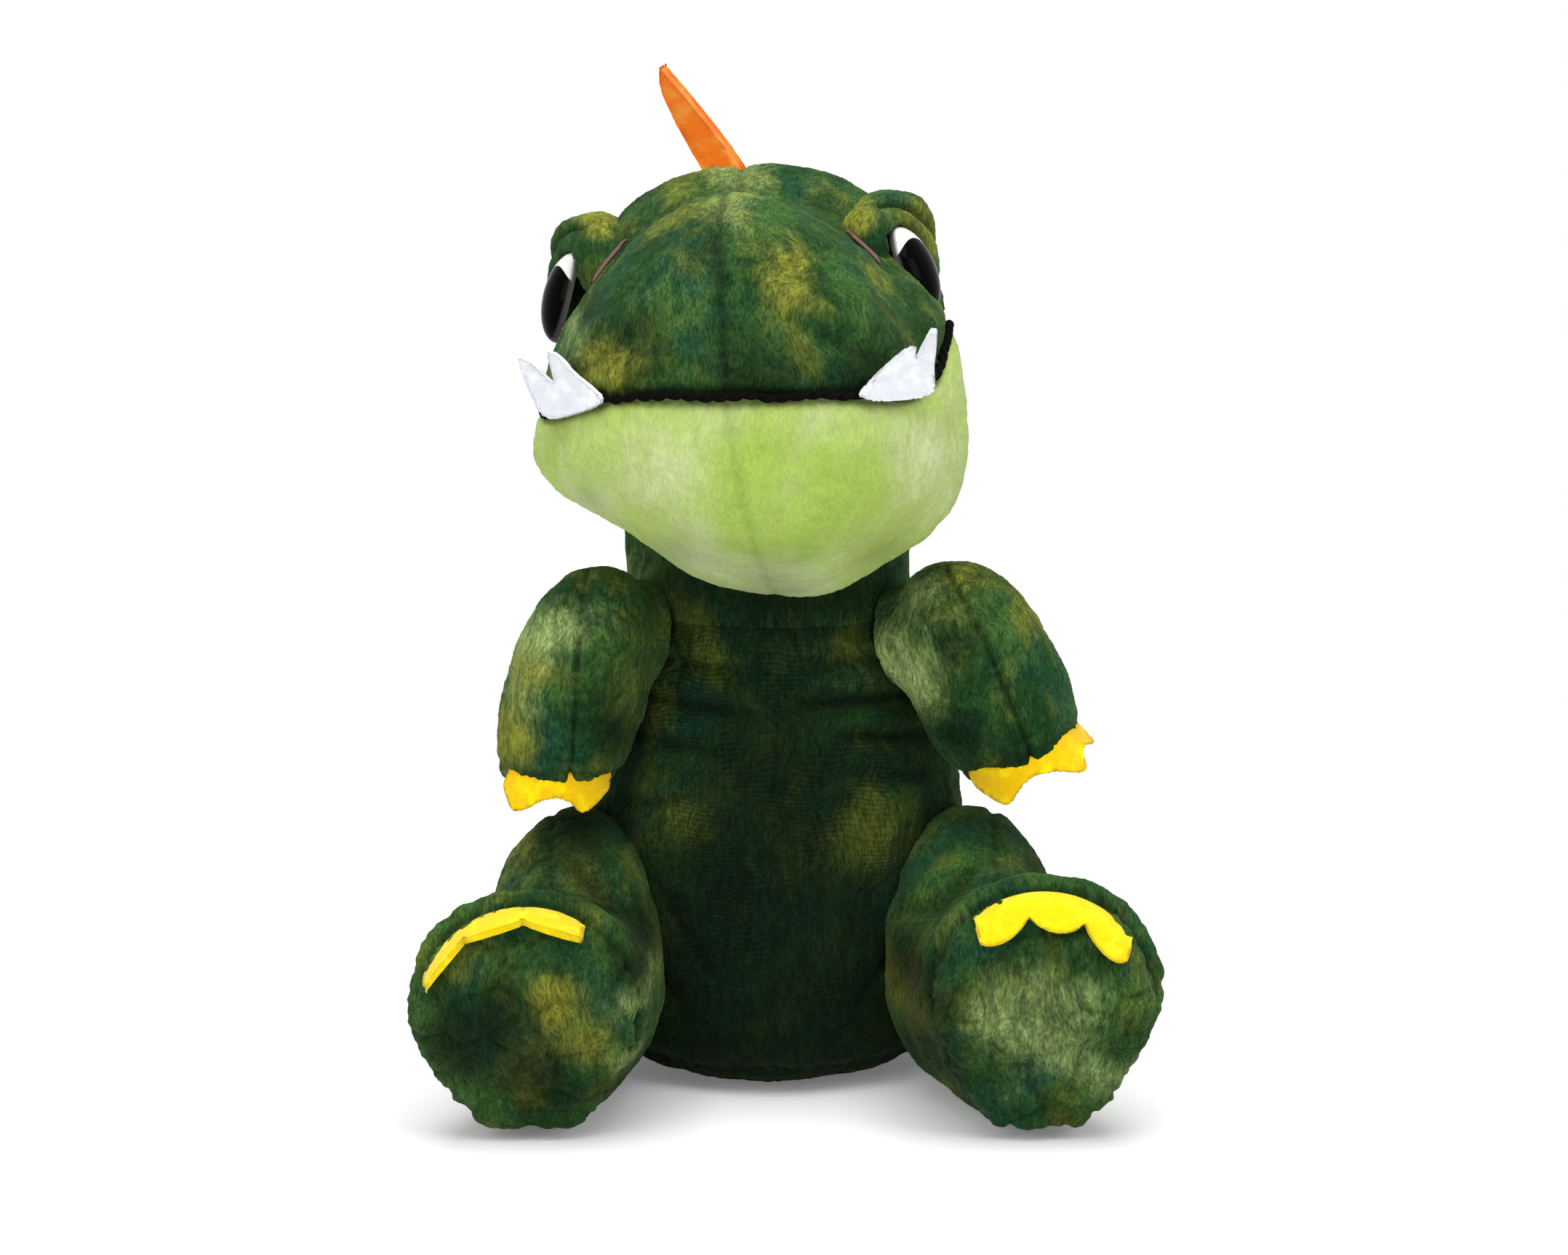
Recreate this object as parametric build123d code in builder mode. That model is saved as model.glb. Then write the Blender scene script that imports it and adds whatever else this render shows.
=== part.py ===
"""Stuffed dinosaur, seated: cloth skins over stuffing, with felt claws, teeth and spikes.

Millimetres, +Z up, the face looks along -Y. The origin is on the surface it sits on,
under the middle of the trunk. Left and right are the dinosaur's own, so left is +X.
Soft pieces are drawn as they stand when stuffed.
"""

from build123d import *
import os
from math import cos, radians, sin

os.makedirs("parts", exist_ok=True)

LEFT, RIGHT = 1, -1
SIDES = {"left": LEFT, "right": RIGHT}

# ---- Cloth, felt and clearances ------------------------------------------------------
skin = 2.0  # plush cloth with its pile
felt = 2.0  # one layer of felt
swivel_gap = 0.5  # between bodies that turn on a sewn joint

# ---- Trunk ---------------------------------------------------------------------------
# height, half width, half depth of the pear that the trunk is, from the seat to the neck
trunk_sections = [
    (0.0, 46.0, 42.0),
    (7.0, 58.0, 53.0),
    (38.0, 67.0, 61.0),
    (85.0, 67.0, 60.0),
    (125.0, 62.0, 57.0),
    (150.0, 56.0, 52.0),
    (163.0, 52.0, 49.0),
]
trunk_height = trunk_sections[-1][0]
base_seam = 9.0  # height of the seam round the base panel

# ---- Neck: a drum that ends in a ball inside the head ----------------------------------
neck_x, neck_y = -1.0, -1.0  # axis of the neck
neck_length = 29.0  # from the trunk to the ball's centre
ball_radius = 50.0
ball_lip = 3.5  # the ball is wider than the drum by this all round
ball_flat = 13.0  # flat top of the ball, above its centre
nod_range = 12.0  # the most that the head nods, which the room above the ball allows for
neck_radius = ball_radius - ball_lip
nod_height = trunk_height + neck_length
neck_top = nod_height + ball_flat

# ---- Head ----------------------------------------------------------------------------
head_lift = 23.0  # origin of the head's own frame, above the ball's centre
head_roll, head_yaw = -5.0, -5.0  # cocked and turned a little to its right
# place along the head, half width, height of the widest line, rise above it, drop below it
head_sections = [
    (-117.5, 19.0, 22.0, 19.0, 16.0),
    (-110.0, 41.0, 22.0, 41.0, 34.0),
    (-84.0, 64.5, 25.0, 70.0, 54.0),
    (-50.0, 71.0, 25.0, 76.0, 62.0),
    (-10.0, 69.0, 24.0, 80.0, 60.0),
    (30.0, 57.0, 20.0, 68.0, 48.0),
    (60.0, 27.0, 18.0, 33.0, 27.0),
]
snout_tip = -119.0
head_back = 66.0
mouth_height = 38.0  # of the mouth line, at the tip of the snout
mouth_slope = -2.0  # how far the mouth line falls towards its corners
mouth_corner = -38.0  # how far forward the yarn stops
jaw_back = -6.0  # back seam of the jaw panel
yarn = 3.0  # thickness of the mouth's yarn
head_height = nod_height + head_lift

# ---- Eyes: moulded ovals on a post, each held by a washer inside -------------------------
eye_height_size, eye_width_size = 31.0, 24.0
eye_dome = 7.5
eye_place = (62.5, -38.0, 63.0)
eye_turn, eye_tilt = 72.0, 20.0  # to the side, and up
post_radius, post_length = 2.5, 14.0
washer_radius, washer_thickness, washer_depth = 8.0, 2.5, 9.0

# ---- Brows ---------------------------------------------------------------------------
brow_radius, brow_end_radius, brow_reach = 14.0, 10.0, 16.0
brow_place = (52.0, -20.0, 81.0)
brow_tilt, brow_toe = 12.0, 14.0

# ---- Teeth and snout stitches ------------------------------------------------------------
# outline of one cluster of teeth, seen square on, its inner end first: two fangs and a long edge
tooth_outline = [
    (-17.0, -4.0),
    (-17.0, 1.0),
    (0.0, 10.0),
    (6.0, 20.0),
    (11.0, 8.0),
    (20.0, 15.0),
    (18.0, -4.0),
]
tooth_place, tooth_turn = (54.0, -92.0), 48.0
stitch_place = (40.0, -62.0, 78.0)
stitch_turn, stitch_tilt, stitch_slant = 40.0, 40.0, 60.0
stitch_length, stitch_width, stitch_lift = 13.0, 3.0, 0.8

# ---- Arms ----------------------------------------------------------------------------
shoulder_turn, shoulder_tilt = 58.0, 12.0  # which way the shoulder seat faces
shoulder_depth = 51.0  # of the seat, from the trunk's middle
shoulder_drop = 6.5  # below the top of the trunk
shoulder_height = trunk_height - shoulder_drop
arm_root_radius, arm_end_radius = 24.0, 28.0
arm_reach, arm_lift, arm_lean = 24.0, 23.0, 5.0
hand_claw_length = 11.0
claw_spread, claw_half = 36.0, 10.0  # angle between two claws, half width of one

# ---- Legs ----------------------------------------------------------------------------
hip_turn = 53.0
hip_depth = 62.5
hip_height = 46.0
hip_back = 17.0  # of the hip's middle, along the seat
# place, sideways, height, half width, half height of the left leg from thigh to foot
leg_sections = [
    (8.0, 60.0, 46.0, 20.0, 28.0),
    (-8.0, 64.0, 46.5, 28.5, 40.0),
    (-32.0, 67.0, 47.0, 32.0, 45.0),
    (-58.0, 68.0, 44.5, 30.0, 41.0),
    (-76.0, 74.0, 42.0, 31.0, 38.5),
    (-92.0, 81.0, 43.0, 36.0, 41.0),
    (-106.0, 85.0, 44.0, 38.0, 42.0),
    (-114.0, 86.0, 44.0, 36.5, 41.0),
]
thigh_back = 15.0
sole_thickness, sole_round = 7.0, 4.5
foot_claw_length, foot_claw_width, foot_claw_count = 19.0, 17.0, 3

# ---- Tail ----------------------------------------------------------------------------
tail_root = (0.0, 60.0, 42.0)
tail_root_radius = 32.0
tail_tip_radius = 7.0
tail_length = 78.7
tail_drop = 23.0

# ---- Felt spikes ------------------------------------------------------------------------
spike_layers = 2 * felt
# place along the head, base length, height, lean to a side and slope back of each head spike
head_spikes = [(4.0, 28.0, 40.0, -30.0, 8.0), (46.0, 26.0, 29.0, -6.0, 62.0)]
back_spikes = [(139.0, 30.0, 24.0), (107.0, 28.0, 21.0)]  # height, base, how far it stands out
tail_spikes = [(38.0, 22.0, 16.0), (60.0, 17.0, 12.0)]  # along the tail, base, height

# ---- Frames ----------------------------------------------------------------------------
NOD_CENTRE = (neck_x, neck_y, nod_height)
HEAD = Plane(Location((neck_x, neck_y, head_height), (0, head_roll, head_yaw)))
MIDDLE = Plane.YZ


def on_head(x, y, z, turn=(0, 0, 0)):
    """Plane at a place given in the head's own frame."""
    return Plane(HEAD.location * Location((x, y, z), turn))


def facing(x, y, z, turn, tilt=0):
    """Plane in the head's frame whose normal looks forward, turned to a side and tilted up."""
    return Plane(on_head(x, y, z, (90, turn, 0)).location * Location((0, 0, 0), (-tilt, 0, 0)))


def seat_plane(side, turn, tilt, depth, height, back=0.0):
    """Sewn seat of a limb: its normal points out of the trunk, its y_dir points up."""
    out = Vector(side * sin(radians(turn)), -cos(radians(turn)), 0)
    along = Vector(cos(radians(turn)), side * sin(radians(turn)), 0)
    normal = out * cos(radians(tilt)) + Vector(0, 0, sin(radians(tilt)))
    middle = out * depth + along * (side * back) + Vector(0, 0, height)
    return Plane(origin=middle, x_dir=along, z_dir=normal)


def shoulder(side):
    return seat_plane(side, shoulder_turn, shoulder_tilt, shoulder_depth, shoulder_height)


def hip(side):
    return seat_plane(side, hip_turn, 0, hip_depth, hip_height, hip_back)


HEAD_MIDDLE = on_head(0, 0, 0, (0, 90, 0))
TAIL = Plane(Location(tail_root, (-tail_drop, 0, 0)))  # y along the tail, z up from it


# ---- Closed forms, shared by the skins and the stuffing inside them ------------------------
def trunk_form(inset):
    """The pear, with a flat under each limb and a socket for the tail."""
    with BuildPart() as form:
        for height, half_width, half_depth in trunk_sections:
            with BuildSketch(Plane.XY.offset(max(height, inset))):
                Ellipse(half_width - inset, half_depth - inset)
        loft()
        for side in SIDES.values():
            split(bisect_by=shoulder(side).offset(-inset), keep=Keep.BOTTOM)
            split(bisect_by=hip(side).offset(-inset), keep=Keep.BOTTOM)
        with Locations(tail_root):
            Sphere(tail_root_radius + swivel_gap + inset, mode=Mode.SUBTRACT)
    return form.part


def neck_form(inset):
    """Drum and ball, turned about the neck's axis."""
    axis = Axis((neck_x, neck_y, 0), (0, 0, 1))
    drum, ball = neck_radius - inset, ball_radius - inset
    waist = nod_height - (ball**2 - drum**2) ** 0.5
    top = (ball**2 - (neck_top - nod_height) ** 2) ** 0.5
    bottom = trunk_height + swivel_gap
    with BuildPart() as form:
        with BuildSketch(Plane(origin=(neck_x, neck_y, 0), x_dir=(1, 0, 0), z_dir=(0, -1, 0))):
            with BuildLine():
                Polyline((0, neck_top), (0, bottom), (drum, bottom), (drum, waist))
                RadiusArc((drum, waist), (top, neck_top), -ball)
                Line((top, neck_top), (0, neck_top))
            make_face()
        revolve(axis=axis)
    return form.part


def head_half(inset):
    """Left half of the head, flat on the middle. A negative inset gives a layer that lies on it."""
    first, last = head_sections[0], head_sections[-1]
    ends = [on_head(0, snout_tip + inset, first[2]), on_head(0, head_back - inset, last[2])]
    outlines = []
    for place, half_width, height, rise, drop in head_sections:
        with BuildSketch(on_head(0, place, height, (90, 0, 0))) as outline:
            with BuildLine():
                EllipticalCenterArc((0, 0), half_width - inset, drop - inset, -90, arc_size=90)
                EllipticalCenterArc((0, 0), half_width - inset, rise - inset, 0, arc_size=90)
                Line((0, rise - inset), (0, inset - drop))
            make_face()
        outlines.append(outline.sketch.faces()[0])
    with BuildPart() as form:
        loft(sections=[Vertex(*ends[0].origin), *outlines, Vertex(*ends[1].origin)])
    return form.part


def leg_form(inset):
    """Left thigh and foot, open to the sole in front and flat against the hip."""
    outlines = [Vertex(leg_sections[0][1], thigh_back - inset, leg_sections[0][2])]
    for place, sideways, height, half_width, half_height in leg_sections:
        station = Plane(origin=(sideways, place, height), x_dir=(1, 0, 0), z_dir=(0, -1, 0))
        with BuildSketch(station) as outline:
            Ellipse(half_width - inset, half_height - inset)
        outlines.append(outline.sketch.faces()[0])
    with BuildPart() as form:
        loft(sections=outlines)
        split(bisect_by=hip(LEFT).offset(swivel_gap), keep=Keep.TOP)
    return form.part


def egg(frame, circles):
    """Hull of circles along the frame's y axis, turned about that axis. Each is place, radius."""
    widest = max(radius for _, radius in circles)
    middle = sum(place for place, _ in circles) / len(circles)
    span = 2 * (max(place + radius for place, radius in circles) - middle + widest)
    with BuildPart() as form:
        with BuildSketch(frame):
            for place, radius in circles:
                with Locations((0, place)):
                    Circle(radius)
            make_hull()
            with Locations((widest, middle)):
                Rectangle(2 * widest, span, mode=Mode.SUBTRACT)
        revolve(axis=Axis(frame.origin, frame.y_dir))
    return form.part


def arm_frame():
    """Left arm's own frame: its y axis runs up the arm from the shoulder's middle."""
    return Plane(shoulder(LEFT).location * Location((0, 0, arm_lift), (0, 0, arm_lean)))


def arm_form(inset):
    """Left arm: an egg with its narrow end at the shoulder, flat against its seat."""
    with BuildPart() as form:
        add(egg(arm_frame(), [(0, arm_root_radius - inset), (-arm_reach, arm_end_radius - inset)]))
        split(bisect_by=shoulder(LEFT).offset(swivel_gap), keep=Keep.TOP)
    return form.part


def tail_form(inset):
    """Ball at the root, then a cone to a round tip, along the TAIL frame's y."""
    tip_place = tail_length - tail_tip_radius
    return egg(TAIL, [(0, tail_root_radius - inset), (tip_place, tail_tip_radius - inset)])


def layer(outer, inner):
    """What lies between two forms: a skin or a piece that lies on one."""
    with BuildPart() as between:
        add(outer)
        add(inner, mode=Mode.SUBTRACT)
    return between.part


def both_halves(left_half):
    """A half of the head and its mirror image, as the left and right ones."""
    with BuildPart() as other:
        add(mirror(left_half, about=HEAD_MIDDLE))
    return {"left": left_half, "right": other.part}


def write(name, piece):
    piece.label = name
    export_step(piece, f"parts/{name}.step")


# ---- Trunk: front panel, two back panels, base panel, stuffing ------------------------------
trunk_outer, trunk_inner = trunk_form(0), trunk_form(skin)
trunk_skin = layer(trunk_outer, trunk_inner)

with BuildPart() as body_stuffing:
    add(trunk_inner)
write("body_stuffing", body_stuffing.part)

with BuildPart() as base_panel:
    add(trunk_skin)
    split(bisect_by=Plane.XY.offset(base_seam), keep=Keep.BOTTOM)
write("base_panel", base_panel.part)

with BuildPart() as body_front:
    add(trunk_skin)
    split(bisect_by=Plane.XY.offset(base_seam), keep=Keep.TOP)
    split(bisect_by=Plane.XZ, keep=Keep.TOP)
write("body_front", body_front.part)

with BuildPart() as body_back:
    add(trunk_skin)
    split(bisect_by=Plane.XY.offset(base_seam), keep=Keep.TOP)
    split(bisect_by=Plane.XZ, keep=Keep.BOTTOM)
for side_name, keep in (("left", Keep.TOP), ("right", Keep.BOTTOM)):
    with BuildPart() as back_panel:
        add(body_back)
        split(bisect_by=MIDDLE, keep=keep)
    write(f"body_back_{side_name}", back_panel.part)

# ---- Neck ------------------------------------------------------------------------------
with BuildPart() as neck_stuffing:
    add(neck_form(skin))
write("neck_stuffing", neck_stuffing.part)
write("neck_skin", layer(neck_form(0), neck_form(skin)))

# ---- Head: hollow for the ball, and the zone that the jaw panel covers -------------------------
socket_radius = ball_radius + swivel_gap
socket_roof = neck_top - nod_height + ball_radius * sin(radians(nod_range)) + 2 * swivel_gap
socket_rim = 2.0  # below the ball's centre, where the hollow flares
with BuildPart() as socket:
    with Locations(NOD_CENTRE):
        Sphere(socket_radius)
    split(bisect_by=Plane.XY.offset(nod_height + socket_roof), keep=Keep.BOTTOM)
    split(bisect_by=Plane.XY.offset(nod_height - socket_rim), keep=Keep.TOP)
    with BuildSketch(Plane.XY.offset(nod_height - socket_rim)):
        with Locations((neck_x, neck_y)):
            Circle(socket_radius + 3 * swivel_gap)
    extrude(amount=-ball_radius)

mouth = on_head(0, snout_tip, mouth_height, (-mouth_slope, 0, 0))
head_reach = head_back - snout_tip
with BuildPart() as jaw_zone:
    with BuildSketch(mouth):
        with Locations((0, (jaw_back - snout_tip) / 2)):
            Rectangle(head_reach, jaw_back - snout_tip + head_reach / 8)
    extrude(amount=-head_reach)

# ---- Eyes, posts and washers -----------------------------------------------------------------
head_outer, head_inner = both_halves(head_half(0)), both_halves(head_half(skin))
with BuildPart() as head_whole:
    for half in head_outer.values():
        add(half)

eyes, washers = {}, {}
for side_name, side in SIDES.items():
    x, y, z = eye_place
    face = facing(side * x, y, z, side * eye_turn, eye_tilt)
    with BuildPart() as eye:
        with BuildSketch(face):
            Ellipse(eye_width_size / 2, eye_height_size / 2)
        extrude(amount=eye_dome)
        fillet(eye.faces().sort_by(Axis(face.origin, face.z_dir))[-1].edges(), eye_dome - 1)
        with BuildSketch(face):
            Circle(post_radius)
        extrude(amount=-post_length)
    with BuildPart() as washer:
        with BuildSketch(face.offset(-washer_depth)):
            Circle(washer_radius)
            Circle(post_radius, mode=Mode.SUBTRACT)
        extrude(amount=-washer_thickness)
    eyes[side_name], washers[side_name] = eye.part, washer.part
    write(f"eye_{side_name}", eye.part)
    write(f"eye_washer_{side_name}", washer.part)

# ---- Head skins and stuffing --------------------------------------------------------------
with BuildPart() as head_stuffing:
    for half in head_inner.values():
        add(half)
    add(socket, mode=Mode.SUBTRACT)
    for hard_part in [*eyes.values(), *washers.values()]:
        add(hard_part, mode=Mode.SUBTRACT)
write("head_stuffing", head_stuffing.part)

jaw_halves = []
for side_name in SIDES:
    with BuildPart() as half_skin:
        add(head_outer[side_name])
        add(head_inner[side_name], mode=Mode.SUBTRACT)
        add(socket, mode=Mode.SUBTRACT)
        add(eyes[side_name], mode=Mode.SUBTRACT)
    with BuildPart() as upper_skin:
        add(half_skin)
        add(jaw_zone, mode=Mode.SUBTRACT)
    write(f"head_skin_{side_name}", upper_skin.part)
    with BuildPart() as jaw_half:
        add(half_skin)
        add(jaw_zone, mode=Mode.INTERSECT)
    jaw_halves.append(jaw_half.part)
with BuildPart() as jaw_skin:
    for jaw_half_part in jaw_halves:
        add(jaw_half_part)
write("jaw_skin", jaw_skin.part)


# ---- Mouth yarn, teeth and snout stitches: all lie on the head's outer form --------------------
def lying_on_head(side_name, thickness):
    """Layer of one thickness on one half of the head."""
    return layer(both_halves(head_half(-thickness))[side_name], head_outer[side_name])


with BuildPart() as mouth_yarn:
    for side_name in SIDES:
        add(lying_on_head(side_name, yarn * 0.8))
    split(bisect_by=mouth.offset(yarn / 2), keep=Keep.BOTTOM)
    split(bisect_by=mouth.offset(-yarn / 2), keep=Keep.TOP)
    split(bisect_by=on_head(0, mouth_corner, 0, (90, 0, 0)), keep=Keep.TOP)
write("mouth_yarn", mouth_yarn.part)

for side_name, side in SIDES.items():
    x, y = tooth_place
    mouth_at = mouth_height - (y - snout_tip) * sin(radians(mouth_slope)) + yarn / 2
    with BuildPart() as teeth:
        with BuildSketch(facing(side * x, y, mouth_at, side * tooth_turn)):
            with BuildLine():
                Polyline([(side * along, up) for along, up in tooth_outline], close=True)
            make_face()
        extrude(amount=head_reach / 4, both=True)
        add(lying_on_head(side_name, felt), mode=Mode.INTERSECT)
        split(bisect_by=mouth.offset(yarn / 2), keep=Keep.TOP)
    write(f"teeth_{side_name}", teeth.part)

    x, y, z = stitch_place
    with BuildPart() as stitches:
        with BuildSketch(facing(side * x, y, z, side * stitch_turn, stitch_tilt)):
            SlotOverall(stitch_length, stitch_width, rotation=side * -stitch_slant)
        extrude(amount=head_reach / 8, both=True)
        add(lying_on_head(side_name, stitch_lift), mode=Mode.INTERSECT)
    write(f"snout_stitches_{side_name}", stitches.part)

# ---- Brows: a stuffed roll over each eye ------------------------------------------------------
for side_name, side in SIDES.items():
    x, y, z = brow_place
    roll_frame = on_head(side * x, y, z, (0, side * brow_tilt, side * brow_toe))
    circles = [(-brow_reach, brow_end_radius), (0, brow_radius), (brow_reach, brow_end_radius)]
    with BuildPart() as brow:
        add(egg(roll_frame, circles))
        add(head_outer[side_name], mode=Mode.SUBTRACT)
        add(eyes[side_name], mode=Mode.SUBTRACT)
    write(f"brow_{side_name}", brow.part)


# ---- Felt spikes down the middle ---------------------------------------------------------------
def spike(face, base, height):
    """Leaf of folded felt on a plane whose y_dir points out of the cloth."""
    root = base / 3
    with BuildPart() as leaf:
        with BuildSketch(face):
            with BuildLine():
                Line((-base / 2, 0), (-base / 2, -root))
                Line((-base / 2, -root), (base / 2, -root))
                Line((base / 2, -root), (base / 2, 0))
                RadiusArc((base / 2, 0), (base * 0.1, height), 2 * height)
                RadiusArc((base * 0.1, height), (-base / 2, 0), 2 * height)
            make_face()
        extrude(amount=spike_layers / 2, both=True)
    return leaf.part


def rise_of_head(place):
    """Height of the head's middle line at a place along it."""
    for near, far in zip(head_sections, head_sections[1:]):
        if near[0] <= place <= far[0]:
            share = (place - near[0]) / (far[0] - near[0])
            return (near[2] + near[3]) * (1 - share) + (far[2] + far[3]) * share
    return head_sections[-1][2]


for number, (place, base, height, lean, slope) in enumerate(head_spikes, start=1):
    root = on_head(0, place, rise_of_head(place), (-slope, lean, 0))
    with BuildPart() as head_spike:
        add(spike(Plane(root.location * Location((0, 0, 0), (90, 90, 0))), base, height))
        add(head_whole, mode=Mode.SUBTRACT)
    write(f"head_spike_{number}", head_spike.part)

# ---- Arms: skin open at the seat, stuffing, felt claws in the end seam ---------------------------
arm_outer, arm_inner = arm_form(0), arm_form(skin)
claw_root = arm_end_radius - claw_half / 2
with BuildPart() as hand_claws:
    with BuildSketch(arm_frame()):
        with Locations((0, -arm_reach)):
            with PolarLocations(claw_root, 3, start_angle=-90 - claw_spread, angular_range=3 * claw_spread):
                Polygon((0, -claw_half), (hand_claw_length + claw_half / 2, 0), (0, claw_half), align=None)
                Circle(claw_half)
    extrude(amount=felt / 2, both=True)
    add(arm_outer, mode=Mode.SUBTRACT)
arm_pieces = {
    "arm_skin": layer(arm_outer, arm_inner),
    "arm_stuffing": arm_inner,
    "hand_claws": hand_claws.part,
}

# ---- Legs: skin, stuffing, padded sole, felt claws over the toes ---------------------------------
leg_outer, leg_inner = leg_form(0), leg_form(skin)
front, sole_x, sole_z, sole_half_width, sole_half_height = leg_sections[-1]
sole_plane = Plane(origin=(sole_x, front, sole_z), x_dir=(1, 0, 0), z_dir=(0, -1, 0))
with BuildPart() as sole:
    with BuildSketch(sole_plane):
        Ellipse(sole_half_width - skin / 2, sole_half_height - skin / 2)
    extrude(amount=sole_thickness)
    fillet(sole.faces().sort_by(Axis.Y)[0].edges(), sole_round)
with BuildPart() as foot_claws:
    with BuildSketch(sole_plane):
        Ellipse(sole_half_width - skin / 2 + felt, sole_half_height - skin / 2 + felt)
        Ellipse(sole_half_width - skin / 2, sole_half_height - skin / 2, mode=Mode.SUBTRACT)
    extrude(amount=foot_claw_length)
    with BuildSketch(Plane.XY.offset(sole_z)):
        with Locations((sole_x, front - foot_claw_length / 2)):
            with GridLocations(foot_claw_width, 0, foot_claw_count, 1):
                Ellipse(foot_claw_width / 2 + 1, foot_claw_length / 2)
        with Locations((sole_x, front - foot_claw_length / 4)):
            Rectangle(foot_claw_width * (foot_claw_count - 0.6), foot_claw_length / 2)
    extrude(amount=sole_half_height * 2, mode=Mode.INTERSECT)
leg_pieces = {
    "leg_skin": layer(leg_outer, leg_inner),
    "leg_stuffing": leg_inner,
    "sole": sole.part,
    "foot_claws": foot_claws.part,
}

for piece_name, left_part in {**arm_pieces, **leg_pieces}.items():
    with BuildPart() as left_piece:
        add(left_part)
    write(f"{piece_name}_left", left_piece.part)
    with BuildPart() as right_piece:
        add(mirror(left_part, about=MIDDLE))
    write(f"{piece_name}_right", right_piece.part)

# ---- Tail and the spikes on tail and back --------------------------------------------------------
tail_outer, tail_inner = tail_form(0), tail_form(skin)
with BuildPart() as tail_skin:
    add(layer(tail_outer, tail_inner))
write("tail_skin", tail_skin.part)
with BuildPart() as tail_stuffing:
    add(tail_inner)
write("tail_stuffing", tail_stuffing.part)

for number, (place, base, height) in enumerate(tail_spikes, start=1):
    share = place / (tail_length - tail_tip_radius)
    top = tail_root_radius * (1 - share) + tail_tip_radius * share
    face = Plane(TAIL.location * Location((0, place, top), (90, -90, 0)))
    with BuildPart() as tail_spike:
        add(spike(face, base, height))
        add(tail_outer, mode=Mode.SUBTRACT)
    write(f"tail_spike_{number}", tail_spike.part)


def depth_of_trunk(height):
    """Half depth of the trunk at a height."""
    for low, high in zip(trunk_sections, trunk_sections[1:]):
        if low[0] <= height <= high[0]:
            share = (height - low[0]) / (high[0] - low[0])
            return low[2] * (1 - share) + high[2] * share
    return trunk_sections[-1][2]


for number, (height, base, reach) in enumerate(back_spikes, start=1):
    face = Plane(origin=(0, depth_of_trunk(height), height), x_dir=(0, 0, -1), z_dir=(1, 0, 0))
    with BuildPart() as back_spike:
        add(spike(face, base, reach))
        add(trunk_outer, mode=Mode.SUBTRACT)
    write(f"back_spike_{number}", back_spike.part)
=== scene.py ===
from math import cos, pi, radians, sin, tan

import bmesh
import bpy
import numpy as np
from mathutils import Matrix, Vector, noise


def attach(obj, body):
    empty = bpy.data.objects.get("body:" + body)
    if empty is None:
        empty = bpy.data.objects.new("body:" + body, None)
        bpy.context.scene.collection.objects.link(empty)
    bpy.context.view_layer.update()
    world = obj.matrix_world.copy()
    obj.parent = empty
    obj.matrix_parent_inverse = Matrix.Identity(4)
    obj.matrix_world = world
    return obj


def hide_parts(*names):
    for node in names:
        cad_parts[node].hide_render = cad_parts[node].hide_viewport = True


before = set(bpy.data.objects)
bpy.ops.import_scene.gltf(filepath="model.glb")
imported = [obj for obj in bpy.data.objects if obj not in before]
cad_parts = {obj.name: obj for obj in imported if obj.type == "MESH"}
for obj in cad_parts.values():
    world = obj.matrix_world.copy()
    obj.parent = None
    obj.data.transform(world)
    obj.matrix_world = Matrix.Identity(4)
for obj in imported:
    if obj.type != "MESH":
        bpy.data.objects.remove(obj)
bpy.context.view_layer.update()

MM = 0.001
LEFT, RIGHT = 1, -1  # the dinosaur's own left is +X: it faces -Y
SIDES = {"left": LEFT, "right": RIGHT}

# ---- Trunk ---------------------------------------------------------------------------
# A pear of short-pile plush, stuffed with polyester fibre: one front panel, two back
# panels and a base panel, sewn edge to edge and turned, so that each seam pulls inwards.


def steady_curve(places, values, at):
    """Smooth curve through the values that doesn't swing past them."""
    step = np.diff(places)
    slope = np.diff(values) / step
    both = slope[:-1] * slope[1:]
    total = slope[:-1] + slope[1:]
    inner = np.where(both > 0, 2 * both / np.where(np.abs(total) < 1e-9, 1.0, total), 0.0)
    tangent = np.concatenate([[slope[0]], inner, [slope[-1]]])
    i = np.clip(np.searchsorted(places, at) - 1, 0, len(step) - 1)
    t = np.clip((at - places[i]) / step[i], 0.0, 1.0)
    return (
        values[i] * (1 + 2 * t) * (1 - t) ** 2
        + tangent[i] * step[i] * t * (1 - t) ** 2
        + values[i + 1] * t * t * (3 - 2 * t)
        + tangent[i + 1] * step[i] * t * t * (t - 1)
    )


def stuffed(sections, along):
    """Solid through rounded sections, as a function of points that is below 0 inside.

    Each section is place, middle across, middle up, half width, rise, drop, and the
    roundness above and below: 2 is an ellipse, less is a tent and more is boxy. It is 2
    where a section leaves it out.
    """
    rows = np.array([(*section, 2, 2)[:8] for section in sorted(sections)], dtype=float)
    fine = np.linspace(rows[0, 0], rows[-1, 0], 500)
    curves = []
    for column in range(1, 8):
        if column in (3, 4, 5):
            squares = steady_curve(rows[:, 0], rows[:, column] ** 2, fine)
            curves.append(np.sqrt(np.maximum(squares, 0.0)))
        else:
            curves.append(steady_curve(rows[:, 0], rows[:, column], fine))
    across_axis, up_axis = [axis for axis in range(3) if axis != along]

    def solid(points):
        place = points[:, along]
        mid_a, mid_u, wide, rise, drop, over, under = (np.interp(place, fine, c) for c in curves)
        across = np.abs(points[:, across_axis] - mid_a) / np.maximum(wide, 0.05)
        up = points[:, up_axis] - mid_u
        high = np.abs(up) / np.maximum(np.where(up > 0, rise, drop), 0.05)
        roundness = np.where(up > 0, over, under)
        value = across**roundness + high**roundness - 1
        return np.where((place < fine[0]) | (place > fine[-1]), 9.0, value)

    return solid


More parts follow.
